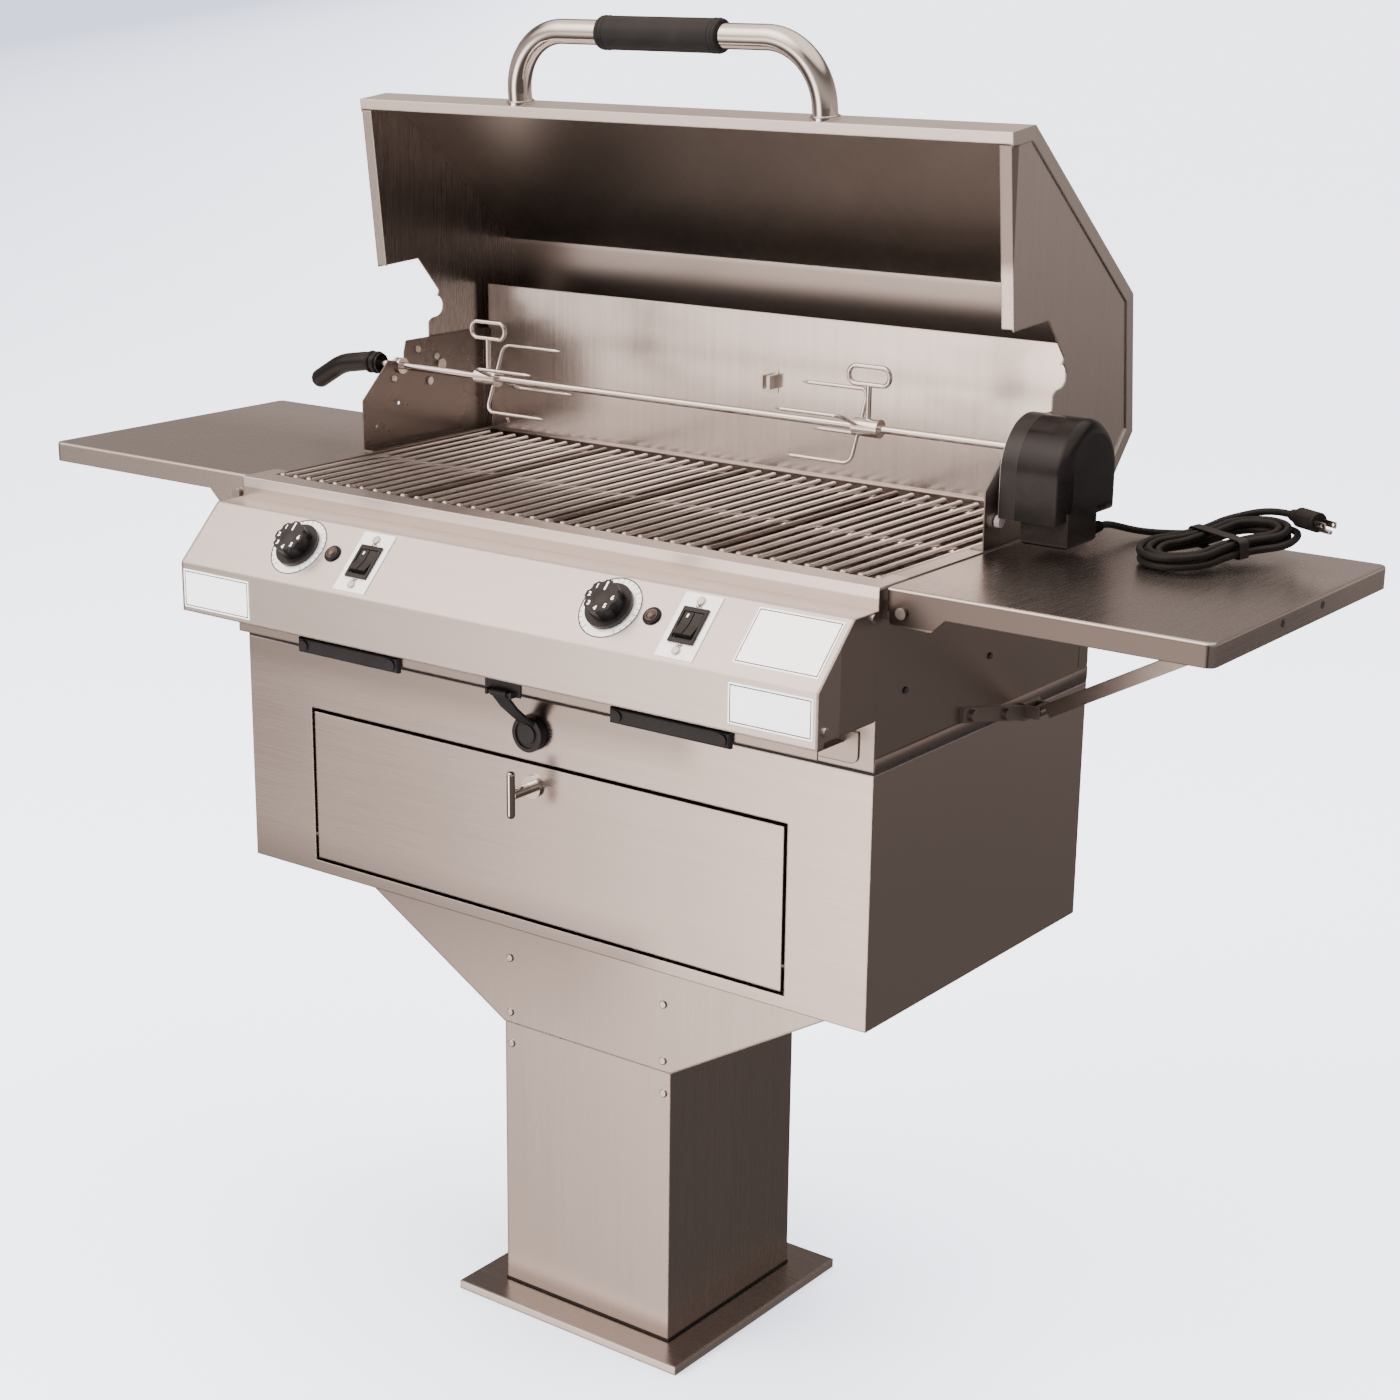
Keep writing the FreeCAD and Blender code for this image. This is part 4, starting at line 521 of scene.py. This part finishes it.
# Painted light and shade laid over a finish: its box's corners and soft margin in millimetres, colour and
# roughness
painted_light_and_shade = [
    # Painted shade inside the body under the grates, a painted highlight on its lip and painted shade on the
    # band under the control panel
    (front_steel, (-404, -196, 742), (404, 203, 908), 1.2, (0.085, 0.065, 0.055), 0.5),
    (front_steel, (-420, -250, 904), (420, -150, 920), 0.8, (0.96, 0.89, 0.86), 0.34),
    (front_steel, (-412, -260, 730), (412, -198, 800), 3.0, (0.46, 0.41, 0.385), 0.34),
    # Painted light on the hood's front cap, painted shade on its lower back and on the right front flanges
    (hood_steel, (-420, -20, 1289), (408, 42, 1330), 0.8, (0.97, 0.91, 0.88), 0.42),
    (hood_steel, (-406.8, 200, 925), (406.8, 272, 1128), 3.0, (0.46, 0.42, 0.40), 0.34),
    (hood_steel, *painted_shade_flange),
    (wing_steel, *painted_shade_flange),
    # The shaded head and foot of the cabinet and flare of the column
    (cabinet_steel, (-600, -400, 708), (200, -40, 800), 14.0, (0.44, 0.40, 0.375), 0.28),
    (cabinet_steel, (-600, -400, 400), (150, -40, 508), 22.0, (0.42, 0.38, 0.355), 0.28),
    (column_steel, (-600, -400, 380), (40, 400, 700), 60.0, (0.42, 0.38, 0.355), 0.30),
    # Painted shade on the sides of the body and painted light on the sides of the cabinet
    (front_steel, (-flank_out, -260, 730), (-flank_in, 260, 912), 0.3, (0.47, 0.415, 0.39), 0.34),
    (cabinet_steel, (-flank_out, -260, 470), (-flank_in, 260, 745), 0.3, (0.80, 0.72, 0.68), 0.26),
    (front_steel, (flank_in, -260, 730), (flank_out, 260, 912), 0.3, (0.47, 0.415, 0.39), 0.34),
    (cabinet_steel, (flank_in, -260, 470), (flank_out, 260, 745), 0.3, (0.80, 0.72, 0.68), 0.26),
    # Painted highlight on the edge of the base plate
    (base_steel, (-160, -160, -5), (160, 160, 9.2), 0.4, (1.0, 0.94, 0.90), 0.34),
    # Painted highlights and painted shade on the shelves, and painted shade on the right one's front flange
    (shelf_steel, (-800, 60, 880), (-300, 400, 940), 60.0, (0.97, 0.91, 0.88), 0.27),
    (shelf_steel, (600, 30, 880), (900, 400, 940), 60.0, (0.97, 0.91, 0.88), 0.27),
    (shelf_steel, (380, -80, 880), (570, 150, 940), 40.0, (0.42, 0.375, 0.355), 0.27),
    (shelf_steel, (409, -195, 880), (722, -187.4, 911.5), 0.5, (0.15, 0.13, 0.12), 0.34),
    # Painted shade on the outer rod of each grate but the last, and a painted highlight on the front ends of
    # all the rods
    *((rod_steel, (edge - rod_pitch / 2 - 4.2, -158, 880), (edge - rod_pitch / 2 + 4.2, 220, 930),
       0.5, (0.36, 0.32, 0.30), 0.36) for edge in (-rod_span, 0.0, rod_span)),
    (rod_steel, (-420, -190, 880), (420, -158, 930), 1.0, (0.95, 0.92, 0.90), 0.18),
    # Painted shade on the bolt beside the motor's bracket, and a painted highlight on the bracket's edge
    (screw_steel, (408, -40, 930), (440, 15, 962), 0.5, (0.10, 0.09, 0.085), 0.4),
    (bracket_dark, (405, -20, 900), (410.6, 120, 1030), 0.3, (0.90, 0.85, 0.82), 0.25),
]
for finish, low, high, soft, colour, dull in painted_light_and_shade:
    overlaid(finish, within(finish.node_tree, low, high, soft), colour, dull)


def mottled(name, colour, metal, rough, noise, dark, light, start=0.3, end=0.7):
    """A new finish between two tones by a noise; its material, shader, and the noise's value."""
    finish, tree, shader = plain_finish(name, colour, metal, rough)
    cloud = grain(tree, *noise)
    tinted(tree, shader, spread(tree, cloud, 0.0, 1.0, start, end), dark, light)
    return finish, shader, cloud


def bare_plate():
    """Blank satin plate."""
    finish, face, haze = mottled("blank_satin_plate", (0.90, 0.88, 0.86), 0.0, 0.40,
                                 (40.0, (1, 1, 1), 4.0, 0.6, 0.5), (0.90, 0.88, 0.86), (0.95, 0.935, 0.92))
    tree = finish.node_tree
    tree.links.new(spread(tree, haze, 0.38, 0.5), face.inputs["Roughness"])
    return finish


def lamp_lens():
    """Dark lens, unlit, with faint depth."""
    finish, glass, _ = mottled("unlit_lamp_lens", (0.03, 0.016, 0.013), 0.0, 0.14,
                               (500.0, (1, 1, 0.2), 2.0), (0.018, 0.010, 0.008), (0.05, 0.028, 0.022))
    glass.inputs["Coat Weight"].default_value = 0.6
    return finish


def floor_finish():
    """Pale seamless glowing floor, with painted shade in its glow close to the base, and a glow that is dimmer
    and bluer far off to the left.
    """
    finish, paper, _ = mottled("pale_paper_floor", (0.52, 0.54, 0.58), 0.0, 0.9,
                               (0.6, (1, 1, 1), 2.0), (0.50, 0.52, 0.56), (0.52, 0.54, 0.58))
    tree = finish.node_tree
    where = tree.nodes.new("ShaderNodeTexCoord")
    aside = tree.nodes.new("ShaderNodeVectorMath")
    aside.operation = "DOT_PRODUCT"
    aside.inputs[1].default_value = (0.786, 0.618, 0)
    tree.links.new(where.outputs["Object"], aside.inputs[0])
    # Painted fall-off of light: the glow is dimmer and bluer far off to the left
    far = spread(tree, aside.outputs["Value"], 0.0, 1.0, -1.2, -9.0)
    tree.links.new(mixed(tree, far, (2.5, 2.65, 3.1), (0.72, 0.90, 1.45)), paper.inputs["Emission Color"])
    # Painted contact shadow: the glow is dimmer close to the base
    near = tree.nodes.new("ShaderNodeAmbientOcclusion")
    near.inputs["Distance"].default_value = 0.45
    tree.links.new(spread(tree, near.outputs["AO"], 0.30, 1.0, 0.3, 1.0), paper.inputs["Emission Strength"])
    return finish


white_ink = mottled("white_figures", (0.85, 0.82, 0.78), 0.0, 0.45, (240.0,),
                    (0.62, 0.57, 0.53), (0.90, 0.87, 0.84), 0.25, 0.5)[0]
dark_ink = mottled("etched_figures", (0.06, 0.045, 0.04), 0.0, 0.6, (300.0,),
                   (0.12, 0.09, 0.08), (0.045, 0.035, 0.03), 0.25, 0.5)[0]
blank_plate = bare_plate()
dial_bright = mottled("bright_dial_ring", (0.92, 0.90, 0.88), 0.35, 0.25, (60.0, (1, 1, 1), 4.0),
                      (0.86, 0.83, 0.80), (0.96, 0.94, 0.92))[0]
lens_dark = lamp_lens()

finish_of = {
    front_steel: ("body_shell", "panel_ends", "drip_tray"),
    panel_steel: ("control_panel",),
    cabinet_steel: ("cabinet_shell", "cabinet_door"),
    base_steel: ("base_plate",),
    grill_wing_steel: ("firebox_sides",),
    column_steel: ("column", "transition_front", "transition_back", "transition_sides"),
    hood_steel: ("hood_skin",),
    wing_steel: ("hood_sides",),
    wall_steel: ("back_wall",),
    shelf_steel: ("shelf_left", "shelf_right"),
    bracket_dark: ("motor_bracket",),
    inner_steel: ("inner_rails", "shelf_hinges", "shelf_channels", "control_bodies"),
    stay_steel: ("shelf_stay_left", "shelf_stay_right"),
    rod_steel: ("grate_1", "grate_2", "grate_3", "grate_4"),
    spit_steel: ("spit_rod", "fork_left", "fork_right", "thumbscrew_left", "thumbscrew_right"),
    chrome: ("hood_handle", "door_latch"),
    plate_steel: ("switch_plates",),
    screw_steel: ("column_screws", "panel_screws", "firebox_screws", "hood_pivot_bolts", "door_hinge_pins",
                  "sensor_clip"),
    dial_bright: ("dial_rings",),
    blank_plate: ("label_plates",),
    lens_dark: ("indicator_lamps",),
    knob_black: ("knob_left", "knob_right", "rocker_left", "rocker_right"),
    gloss_black: ("motor_housing", "spit_handle"),
    grip_black: ("hood_grip",),
    tray_black: ("tray_grips", "tray_latch_plate", "tray_latch_arm"),
    cord_black: ("cord_relief", "cord_lead", "cord_hank", "plug"),
    element_black: ("heating_elements",),
}
for finish, names in finish_of.items():
    for name in names:
        nodes[name].data.materials.clear()
        nodes[name].data.materials.append(finish)


# Cord, its strain relief, tie and plug

def hank_stations():
    """Points and directions of the hank, eight to a loop, spiralling in and out again, in its own frame."""
    reach = math.hypot(hank_end_x, hank_waist_y)
    along = hank_end_x / reach
    across = hank_waist_y / reach
    count = round(8 * hank_loops * 2)
    stations = []
    for q in range(count + 1):
        r = hank_end_r - hank_step * min(q, count - q) / 8
        waist = r - (reach - hank_waist_y)
        climb = min(1.0, max(0.0, (q - count / 2 + 2) / 4))
        z = hank_layer * climb + (hank_end_lift if q == count else 0)
        end = hank_end_x + r
        x, y = hank_end_x - r * along, r * across
        at = ((end, 0), (x, -y), (0, -waist), (-x, -y), (-end, 0), (-x, y), (0, waist), (x, y))[q % 8]
        way = ((0, -1), (-across, along), (-1, 0), (-across, -along),
               (0, 1), (across, -along), (1, 0), (across, along))[q % 8]
        stations.append((Vector((*at, z)), Vector((*way, 0))))
    return stations


def hank_lean(size):
    """How the hank is turned and leans from its raised start to its far end on the shelf, as a matrix."""
    pitch = math.asin((hank_start[2] - hank_lying_z) / (2 * (hank_end_x + hank_end_r)))
    return Matrix.Rotation(math.radians(hank_turn), size, "Z") @ Matrix.Rotation(-pitch, size, "Y")


def hank_on_shelf():
    """The hank's stations, leaning on the shelf where it lies, in millimetres."""
    turn = hank_lean(3)
    stations = [(turn @ at, turn @ way) for at, way in hank_stations()]
    shift = Vector(hank_start) - stations[0][0]
    return [(at + shift, way) for at, way in stations]


def bend_corners(start, start_way, end, end_way):
    """The two corners of the bends that lead from one station to the next."""
    across = end - start
    lead = across.dot(start_way + end_way)
    gap = 2 * (1 - start_way.dot(end_way))
    if gap > 1e-6:
        reach = (math.sqrt(lead * lead + gap * across.dot(across)) - lead) / gap
    else:
        reach = across.dot(across) / (2 * lead)
    return start + start_way * reach, end - end_way * reach


def smooth_cord(name, points, radius):
    """A cord along a smooth line with these control points, in millimetres."""
    line = bpy.data.curves.new(name, "CURVE")
    line.dimensions = "3D"
    spline = line.splines.new("NURBS")
    spline.points.add(len(points) - 1)
    for held, at in zip(spline.points, points):
        held.co = (*m(*at), 1)
    spline.order_u = 3
    spline.use_endpoint_u = True
    spline.resolution_u = 6
    line.bevel_depth = radius * 0.001
    line.bevel_resolution = 5
    line.use_fill_caps = True
    piece = bpy.data.objects.new(name, line)
    bpy.context.scene.collection.objects.link(piece)
    return piece


def make_cord():
    """Cord from the motor to the tied hank, with its strain relief, tie and plug."""
    stations = hank_on_shelf()
    points = [Vector(at) for at in lead_route]
    for (a, way_a), (b, way_b) in zip(stations, stations[1:]):
        points += bend_corners(a, way_a, b, way_b)
    tip, way = stations[-1]
    back = tip + way * 2 * cord_r
    points.append(back)
    cord = smooth_cord("power_cord", points, cord_r)
    cord.data.materials.append(cord_black)
    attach(cord, "stand")
    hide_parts("cord_lead", "cord_hank")

    x, y, z = relief_at
    relief = round_bar("strain_relief", (x, y - 6, z), (x, y + relief_l + 4, z), relief_r, 32, relief_tip_r)
    ribs = [ring("rib", (x, y + 3 + k * 4.4, z), (0, 1, 0), 6.0 - 0.28 * k, 0.9, 32, 8) for k in range(6)]
    collar = soften(round_bar("collar", (x, y - 1.5, z), (x, y + 1.4, z), 8.2, 32), 0.6)
    relief = fit(joined("strain_relief", [relief, collar] + ribs, 50), "stand", cord_black)
    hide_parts("cord_relief")

    plug = make_plug(back, way)
    middle = (stations[0][0] + stations[4][0]) / 2
    ties = make_tie(middle)


def make_plug(back, way):
    """Moulded plug with grip ribs, two flat blades and a round earth pin, on the cord's end."""
    side = Vector((-way.y, way.x, 0)).normalized()
    up = way.cross(side)
    turn = Matrix((side, up, way)).transposed().to_4x4()
    place = Matrix.Translation(Vector(m(*back))) @ turn
    neck = round_bar("neck", (0, 0, 0), (0, 0, 14), 4.8, 32, 8.2)
    body = round_bar("body", (0, 0, 12), (0, 0, plug_l), 9.6, 32)
    pick(body, lambda normal: normal.z > 0.9)
    bpy.ops.mesh.inset(thickness=plug_margin * 0.001, depth=0)
    bpy.ops.object.mode_set(mode="OBJECT")
    body = soften(body, 1.2, 3)
    ribs = [ring("rib", (0, 0, 2.5 + 3 * k), (0, 0, 1), 5.0 + 0.62 * k, 0.8, 32, 8) for k in range(4)]
    flats = [soften(block("flat", (s * 8.6 - 1.2, -5, 17), (s * 8.6 + 1.2, 5, 35)), 0.5) for s in (-1, 1)]
    plug = moved(joined("plug_body", [body, neck] + ribs + flats), place)
    smoothed(45)
    fit(plug, "stand", cord_black)
    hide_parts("plug")
    blades = []
    for s in (-1, 1):
        blade = block("blade", (s * blade_x - 0.75, -3.1, plug_l - 1), (s * blade_x + 0.75, 3.1, plug_l + 16))
        hole = round_bar("hole", (s * blade_x - 3, 0, plug_l + 12), (s * blade_x + 3, 0, plug_l + 12), 1.6, 20)
        blades.append(soften(cut(blade, hole), 0.3))
    pin = soften(round_bar("pin", (0, -6, plug_l - 1), (0, -6, plug_l + 17), 2.3, 24), 1.0, 3)
    blades = moved(joined("plug_blades", blades + [pin]), place)
    fit(blades, "stand", screw_steel)
    return [plug, blades]


def make_tie(middle):
    """Flat tie drawn round the waist of the hank."""
    band = block("cord_tie", (-5, -tie_half, tie_z[0]), (5, tie_half, tie_z[1]))
    pick(band, lambda normal: abs(normal.x) > 0.9)
    bpy.ops.mesh.delete(type="ONLY_FACE")
    bpy.ops.object.mode_set(mode="OBJECT")
    altered(band, "BEVEL", width=tie_bend * 0.001, segments=5)
    altered(band, "SOLIDIFY", thickness=tie_wall * 0.001, offset=1)
    tie = moved(band, Matrix.Translation(Vector(m(*middle))) @ hank_lean(4))
    smoothed(40)
    return fit(tie, "stand", grip_black)


make_cord()


# Controls

def make_knob_marks(side, x, slope):
    """Pointer, figures and raised crown on a knob."""
    line = block("line", (x - 1.0, -knob_s + 7, knob_top - 0.2), (x + 1.0, -knob_s + 16.5, knob_top + 0.35))
    marks = [moved(soften(line, 0.25), slope)]
    for k in range(1, 7):
        a = math.radians(90 + 45 * k)
        at = Matrix.Translation(m(x + figure_r * math.cos(a), -knob_s + figure_r * math.sin(a),
                                  knob_top + 0.1))
        marks.append(words("figure", str(k), figure_size, 0.45, slope @ at))
    fit(joined("knob_figures_" + side, marks), "knob_" + side, white_ink)

    crown = ring("crown", (x, -knob_s, knob_top - 0.4), (0, 0, 1), 10.4, 0.35, 48, 8)
    cap = round_bar("cap", (x, -knob_s, knob_top - 0.5), (x, -knob_s, knob_top + 0.12), 9.2, 48)
    crown = moved(joined("knob_crown_" + side, [crown, soften(cap, 0.1)]), slope)
    fit(crown, "knob_" + side, knob_black)


def make_dial_marks(side, x, slope):
    """Ticks on a dial, every fourth one long, and a dark ring at its edge, which is painted shade."""
    ticks = []
    for k in range(25):
        a = math.radians(90 + 12 * (k - 12))
        long = 5.0 if k % 4 == 0 else 3.0
        tick = block("tick", (dial_r - 1.6 - long, -0.35, dial_t - 0.05), (dial_r - 1.6, 0.35, dial_t + 0.12))
        turn = Matrix.Translation(m(x, -knob_s, 0)) @ Matrix.Rotation(a, 4, "Z")
        ticks.append(moved(tick, slope @ turn))
    fit(joined("dial_ticks_" + side, ticks), "stand", dark_ink)
    # Painted shade: a dark ring round the dial's edge
    rim = moved(ring("dial_edge_shade_" + side, (x, -knob_s, dial_t), (0, 0, 1), dial_r - 0.7, 0.6, 64, 8), slope)
    smoothed(60)
    fit(rim, "stand", seam_dark)


def make_lamps(slope):
    """Domes and bezels of the indicator lamps."""
    domes = []
    bezels = []
    for x in indicator_x:
        dome = ball("dome", (x, -knob_s, 3.0), dome_r, 32, 16)
        dome.scale = (1, 1, 0.5)
        domes.append(moved(settle(dome), slope))
        bezels.append(moved(ring("bezel", (x, -knob_s, 0.8), (0, 0, 1), bezel_r, 1.8, 40, 12), slope))
    fit(joined("lamp_domes", domes, 60), "stand", lens_dark)
    fit(joined("lamp_bezels", bezels, 60), "stand", gloss_black)


def make_switch_parts(slope):
    """Frames round the switches, their ON and OFF, and a white mark on each rocker."""
    frames = []
    legends = []
    for side, x in switch_x.items():
        outer = block("frame", (x - switch_frame[0], -switch_s - switch_frame[1], dial_t - 0.1),
                      (x + switch_frame[0], -switch_s + switch_frame[1], 3.6))
        inner = block("inner", (x - switch_window[0], -switch_s - switch_window[1], -1),
                      (x + switch_window[0], -switch_s + switch_window[1], 9))
        frames.append(moved(soften(cut(outer, inner), 0.7, 3), slope))
        for word, s in (("ON", legend_s), ("OFF", -legend_s)):
            at = Matrix.Translation(m(x, -switch_s + s, dial_t + 0.1))
            legends.append(words("legend", word, legend_size, 0.3, slope @ at))
        mark = block("mark", (x - 6.2, -switch_s + 6.5, 4.2), (x - 4.4, -switch_s + 10.5, 4.75))
        tilt = Matrix.Translation(m(0, -switch_s, -4)) @ Matrix.Rotation(math.radians(-8), 4, "X")
        mark = moved(mark, slope @ tilt @ Matrix.Translation(m(0, switch_s, 4)))
        fit(soften(mark, 0.2), "rocker_" + side, white_ink)
        mark.name = "rocker_mark_" + side
    fit(joined("switch_frames", frames), "stand", knob_black)
    fit(joined("switch_figures", legends), "stand", dark_ink)


def make_controls():
    """What lies on the control panel's slope."""
    slope = on_slope()
    for side, x in knob_x.items():
        make_knob_marks(side, x, slope)
        make_dial_marks(side, x, slope)
    make_lamps(slope)
    make_switch_parts(slope)


make_controls()


# Small fixings, seams and borders

def band_round(name, x, y0, y1, z0, z1, deep):
    """Flat band round the body between two heights."""
    outer = block(name, (-x, y0, z0), (x, y1, z1))
    return cut(outer, block("inner", (-x + deep, y0 + deep, z0 - 5), (x - deep, y1 - deep, z1 + 5)))


def frame_line(low, high, wide):
    """Four thin bars round a flat rectangle lying on its lowest face."""
    (x0, y0, z0), (x1, y1, z1) = low, high
    return [block("bar", (x0, y0, z0), (x1, y0 + wide, z1)),
            block("bar", (x0, y1 - wide, z0), (x1, y1, z1)),
            block("bar", (x0, y0 + wide, z0), (x0 + wide, y1 - wide, z1)),
            block("bar", (x1 - wide, y0 + wide, z0), (x1, y1 - wide, z1))]


def make_seams():
    """Painted shade strip in the body's seam, laps above it, a painted shade ring at the column's foot and the
    body's side fixings, whose slits are dark plates of painted shade.
    """
    skin = body_half - sunk
    # Painted shade: a dark strip sunk just inside the body's seam
    seam = band_round("seam_shade_strip", skin, front_y + sunk, back_y - sunk, seam_z + 0.2, seam_z + 2.8, 1.0)
    fit(seam, "stand", seam_dark)
    # Painted shade: a dark ring at the column's foot
    foot = band_round("foot_shade_ring", column_half + 0.9, -column_half - 0.9, column_half + 0.9,
                      10.0, 12.2, 0.9)
    fit(foot, "stand", seam_dark)
    laps = []
    slits = []
    heads = []
    for s in (-1, 1):
        near, far = sorted((s * skin, s * (body_half + 0.9)))
        lap = block("lap", (near, front_y + 0.5, seam_z + 3.6), (far, back_y - 0.5, seam_z + 16))
        laps.append(soften(lap, 0.3))
        near, far = sorted((s * skin, s * (body_half + 0.12)))
        # Painted shade: thin dark plates in the side slits
        slits.append(block("slit", (near, slit_y[0], slit_z[0]), (far, slit_y[1], slit_z[1])))
        for y in rivet_y:
            head = round_bar("head", (s * skin, y, rivet_z), (s * (body_half + 1.9), y, rivet_z), rivet_r, 28)
            heads.append(soften(head, 0.9, 3))
    fit(joined("side_laps", laps), "stand", front_steel)
    fit(joined("side_slits", slits), "stand", seam_dark)
    fit(joined("side_rivets", heads), "stand", bracket_dark)


def make_borders():
    """Thin dark border lines on the bare plates."""
    slope = on_slope()
    right = body_half - 7.5
    lines = [moved(bar, slope) for bar in frame_line((right - 91.4, -63.9, 0.55),
                                                     (right - 1.6, -6.6, 0.72), border_wide)]
    upright = Matrix.Translation(m(0, panel_nose_y - 0.6, 0)) @ Matrix.Rotation(math.radians(90), 4, "X")
    right = body_half - 7.1
    left = 5.1 - body_half
    for x0, x1, low, high in ((right - 88.8, right, 9.6, 45.4), (left, left + 93.8, 6.6, 44.4)):
        lines += [moved(bar, upright) for bar in frame_line((x0, panel_low_z + low, -0.05),
                                                            (x1, panel_low_z + high, 0.12), border_wide)]
    fit(joined("plate_borders", lines), "stand", seam_dark)


def make_handle_parts():
    """Weld beads round the handle's feet and end bands on its grip."""
    hood = swung()
    beads = [moved(ring("bead", (s * handle_half, front_y - 3.2, handle_z), (0, 1, 0),
                        handle_r + 0.2, 1.4, 56, 10), hood) for s in (-1, 1)]
    fit(joined("handle_welds", beads, 60), "hood", screw_steel)
    bands = [moved(ring("band", (s * x, front_y - handle_stand, handle_z), (1, 0, 0),
                        band_r, 1.1, 64, 10), hood)
             for s in (-1, 1) for x in band_x]
    fit(joined("grip_bands", bands, 60), "hood", grip_black)


def make_rod_tips():
    """Bright domed tips on the front ends of the grate rods."""
    for grate in range(4):
        tips = []
        for k in range(rods_a_grate):
            x = (grate - 2) * rod_span + rod_pitch / 2 + k * rod_pitch
            tips.append(settle(ball("tip", (x, rod_front_y + 3.6, rod_z + 0.5), rod_tip_r, 14, 8)))
        fit(joined("rod_tips_" + str(grate + 1), tips, 60), "stand", screw_steel)


def make_shelf_plugs():
    """Dark discs in the holes of the shelves' outer edges: painted shade that closes the holes."""
    z = shelf_top_z - shelf_hole_drop
    for side, body, s in (("left", "shelf_l", -1), ("right", "shelf_r", 1)):
        hole_shades = []
        for y in shelf_hole_y:
            # Each disc is painted shade in a hole
            plug = round_bar("plug", (s * (shelf_out_x - 1.0), y, z), (s * (shelf_out_x + 0.35), y, z),
                             shelf_hole_r, 24)
            hole_shades.append(soften(plug, 0.2, 2))
        fit(joined("shelf_hole_shades_" + side, hole_shades), body, seam_dark)


make_seams()
make_shelf_plugs()
make_borders()
make_rod_tips()
make_handle_parts()


# Light and floor, in metres and watts

lamps = (((-2.6, -3.4, 3.6), 3.2, 520), ((0.3, 0.6, 4.6), 3.6, 300), ((3.4, 2.2, 2.6), 2.0, 25))
lit_point = (0, 0, 0.8)
floor_size = 160
# The surround: a direction, and the brightness at steps of the cosine of the angle to it
full = 4.0
glows = (
    ((0, 0, 1), ((-1.0, 0.10), (-0.26, 0.11), (-0.17, 0.26), (-0.10, 0.46), (0.0, 0.50), (0.15, 0.40),
                 (0.25, 0.32), (0.42, 0.16), (0.52, 0.20), (0.62, 0.95), (0.75, 1.45), (1.0, 1.6))),
    ((-0.36, -0.88, -0.30), ((-1.0, 0.0), (0.80, 0.0), (0.86, 0.05), (0.89, 0.14), (0.92, 0.32),
                             (0.94, 0.58), (0.96, 1.3), (0.98, 2.9), (1.0, 4.0))),
    ((-0.45, -0.66, 0.60), ((-1.0, 0.0), (0.80, 0.0), (0.88, 0.9), (0.95, 2.4), (1.0, 3.6))),
)


def glow(tree, where, toward, stops):
    """Brightness by the angle to one direction, as a share of full."""
    facing = tree.nodes.new("ShaderNodeVectorMath")
    facing.operation = "DOT_PRODUCT"
    facing.inputs[1].default_value = Vector(toward).normalized()
    tree.links.new(where.outputs["Generated"], facing.inputs[0])
    tones = tree.nodes.new("ShaderNodeFloatCurve")
    curve = tones.mapping.curves[0]
    while len(curve.points) < len(stops):
        curve.points.new(0.5, 0.5)
    for point, (at, bright) in zip(curve.points, stops):
        point.location = ((at + 1) / 2, bright / full)
        point.handle_type = "VECTOR"
    tones.mapping.update()
    tree.links.new(spread(tree, facing.outputs["Value"], 0.0, 1.0, -1.0, 1.0), tones.inputs["Value"])
    return tones.outputs["Value"]


def make_light():
    """Soft studio light: large panels, and a surround that is brighter in front and above."""
    world = bpy.data.worlds.new("studio")
    bpy.context.scene.world = world
    world.use_nodes = True
    tree = world.node_tree
    tree.nodes.clear()
    where = tree.nodes.new("ShaderNodeTexCoord")
    bright = tree.nodes.new("ShaderNodeMath")
    bright.operation = "MULTIPLY"
    bright.inputs[1].default_value = full
    shares = [glow(tree, where, toward, stops) for toward, stops in glows]
    tree.links.new(folded(tree, "ADD", *shares), bright.inputs[0])
    sky = tree.nodes.new("ShaderNodeBackground")
    tint = mixed(tree, spread(tree, bright.outputs[0], 0.0, 1.0, 0.35, 1.6),
                 (1.0, 0.835, 0.755), (1.0, 0.83, 0.74))
    tree.links.new(tint, sky.inputs["Color"])
    tree.links.new(bright.outputs[0], sky.inputs["Strength"])
    out = tree.nodes.new("ShaderNodeOutputWorld")
    tree.links.new(sky.outputs["Background"], out.inputs["Surface"])

    for place, size, power in lamps:
        alone()
        bpy.ops.object.light_add(type="AREA", location=place)
        lamp = bpy.context.object
        lamp.data.size = size
        lamp.data.energy = power
        lamp.visible_glossy = False
        lamp.rotation_euler = (Vector(lit_point) - Vector(place)).to_track_quat("-Z", "Y").to_euler()


def make_floor():
    """Plain pale floor, far wider than the view."""
    alone()
    bpy.ops.mesh.primitive_plane_add(size=floor_size, location=(0, 0, 0))
    floor = named("studio_floor")
    floor.data.materials.append(floor_finish())
    floor.visible_glossy = False
    floor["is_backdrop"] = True


make_light()
make_floor()

low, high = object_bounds()
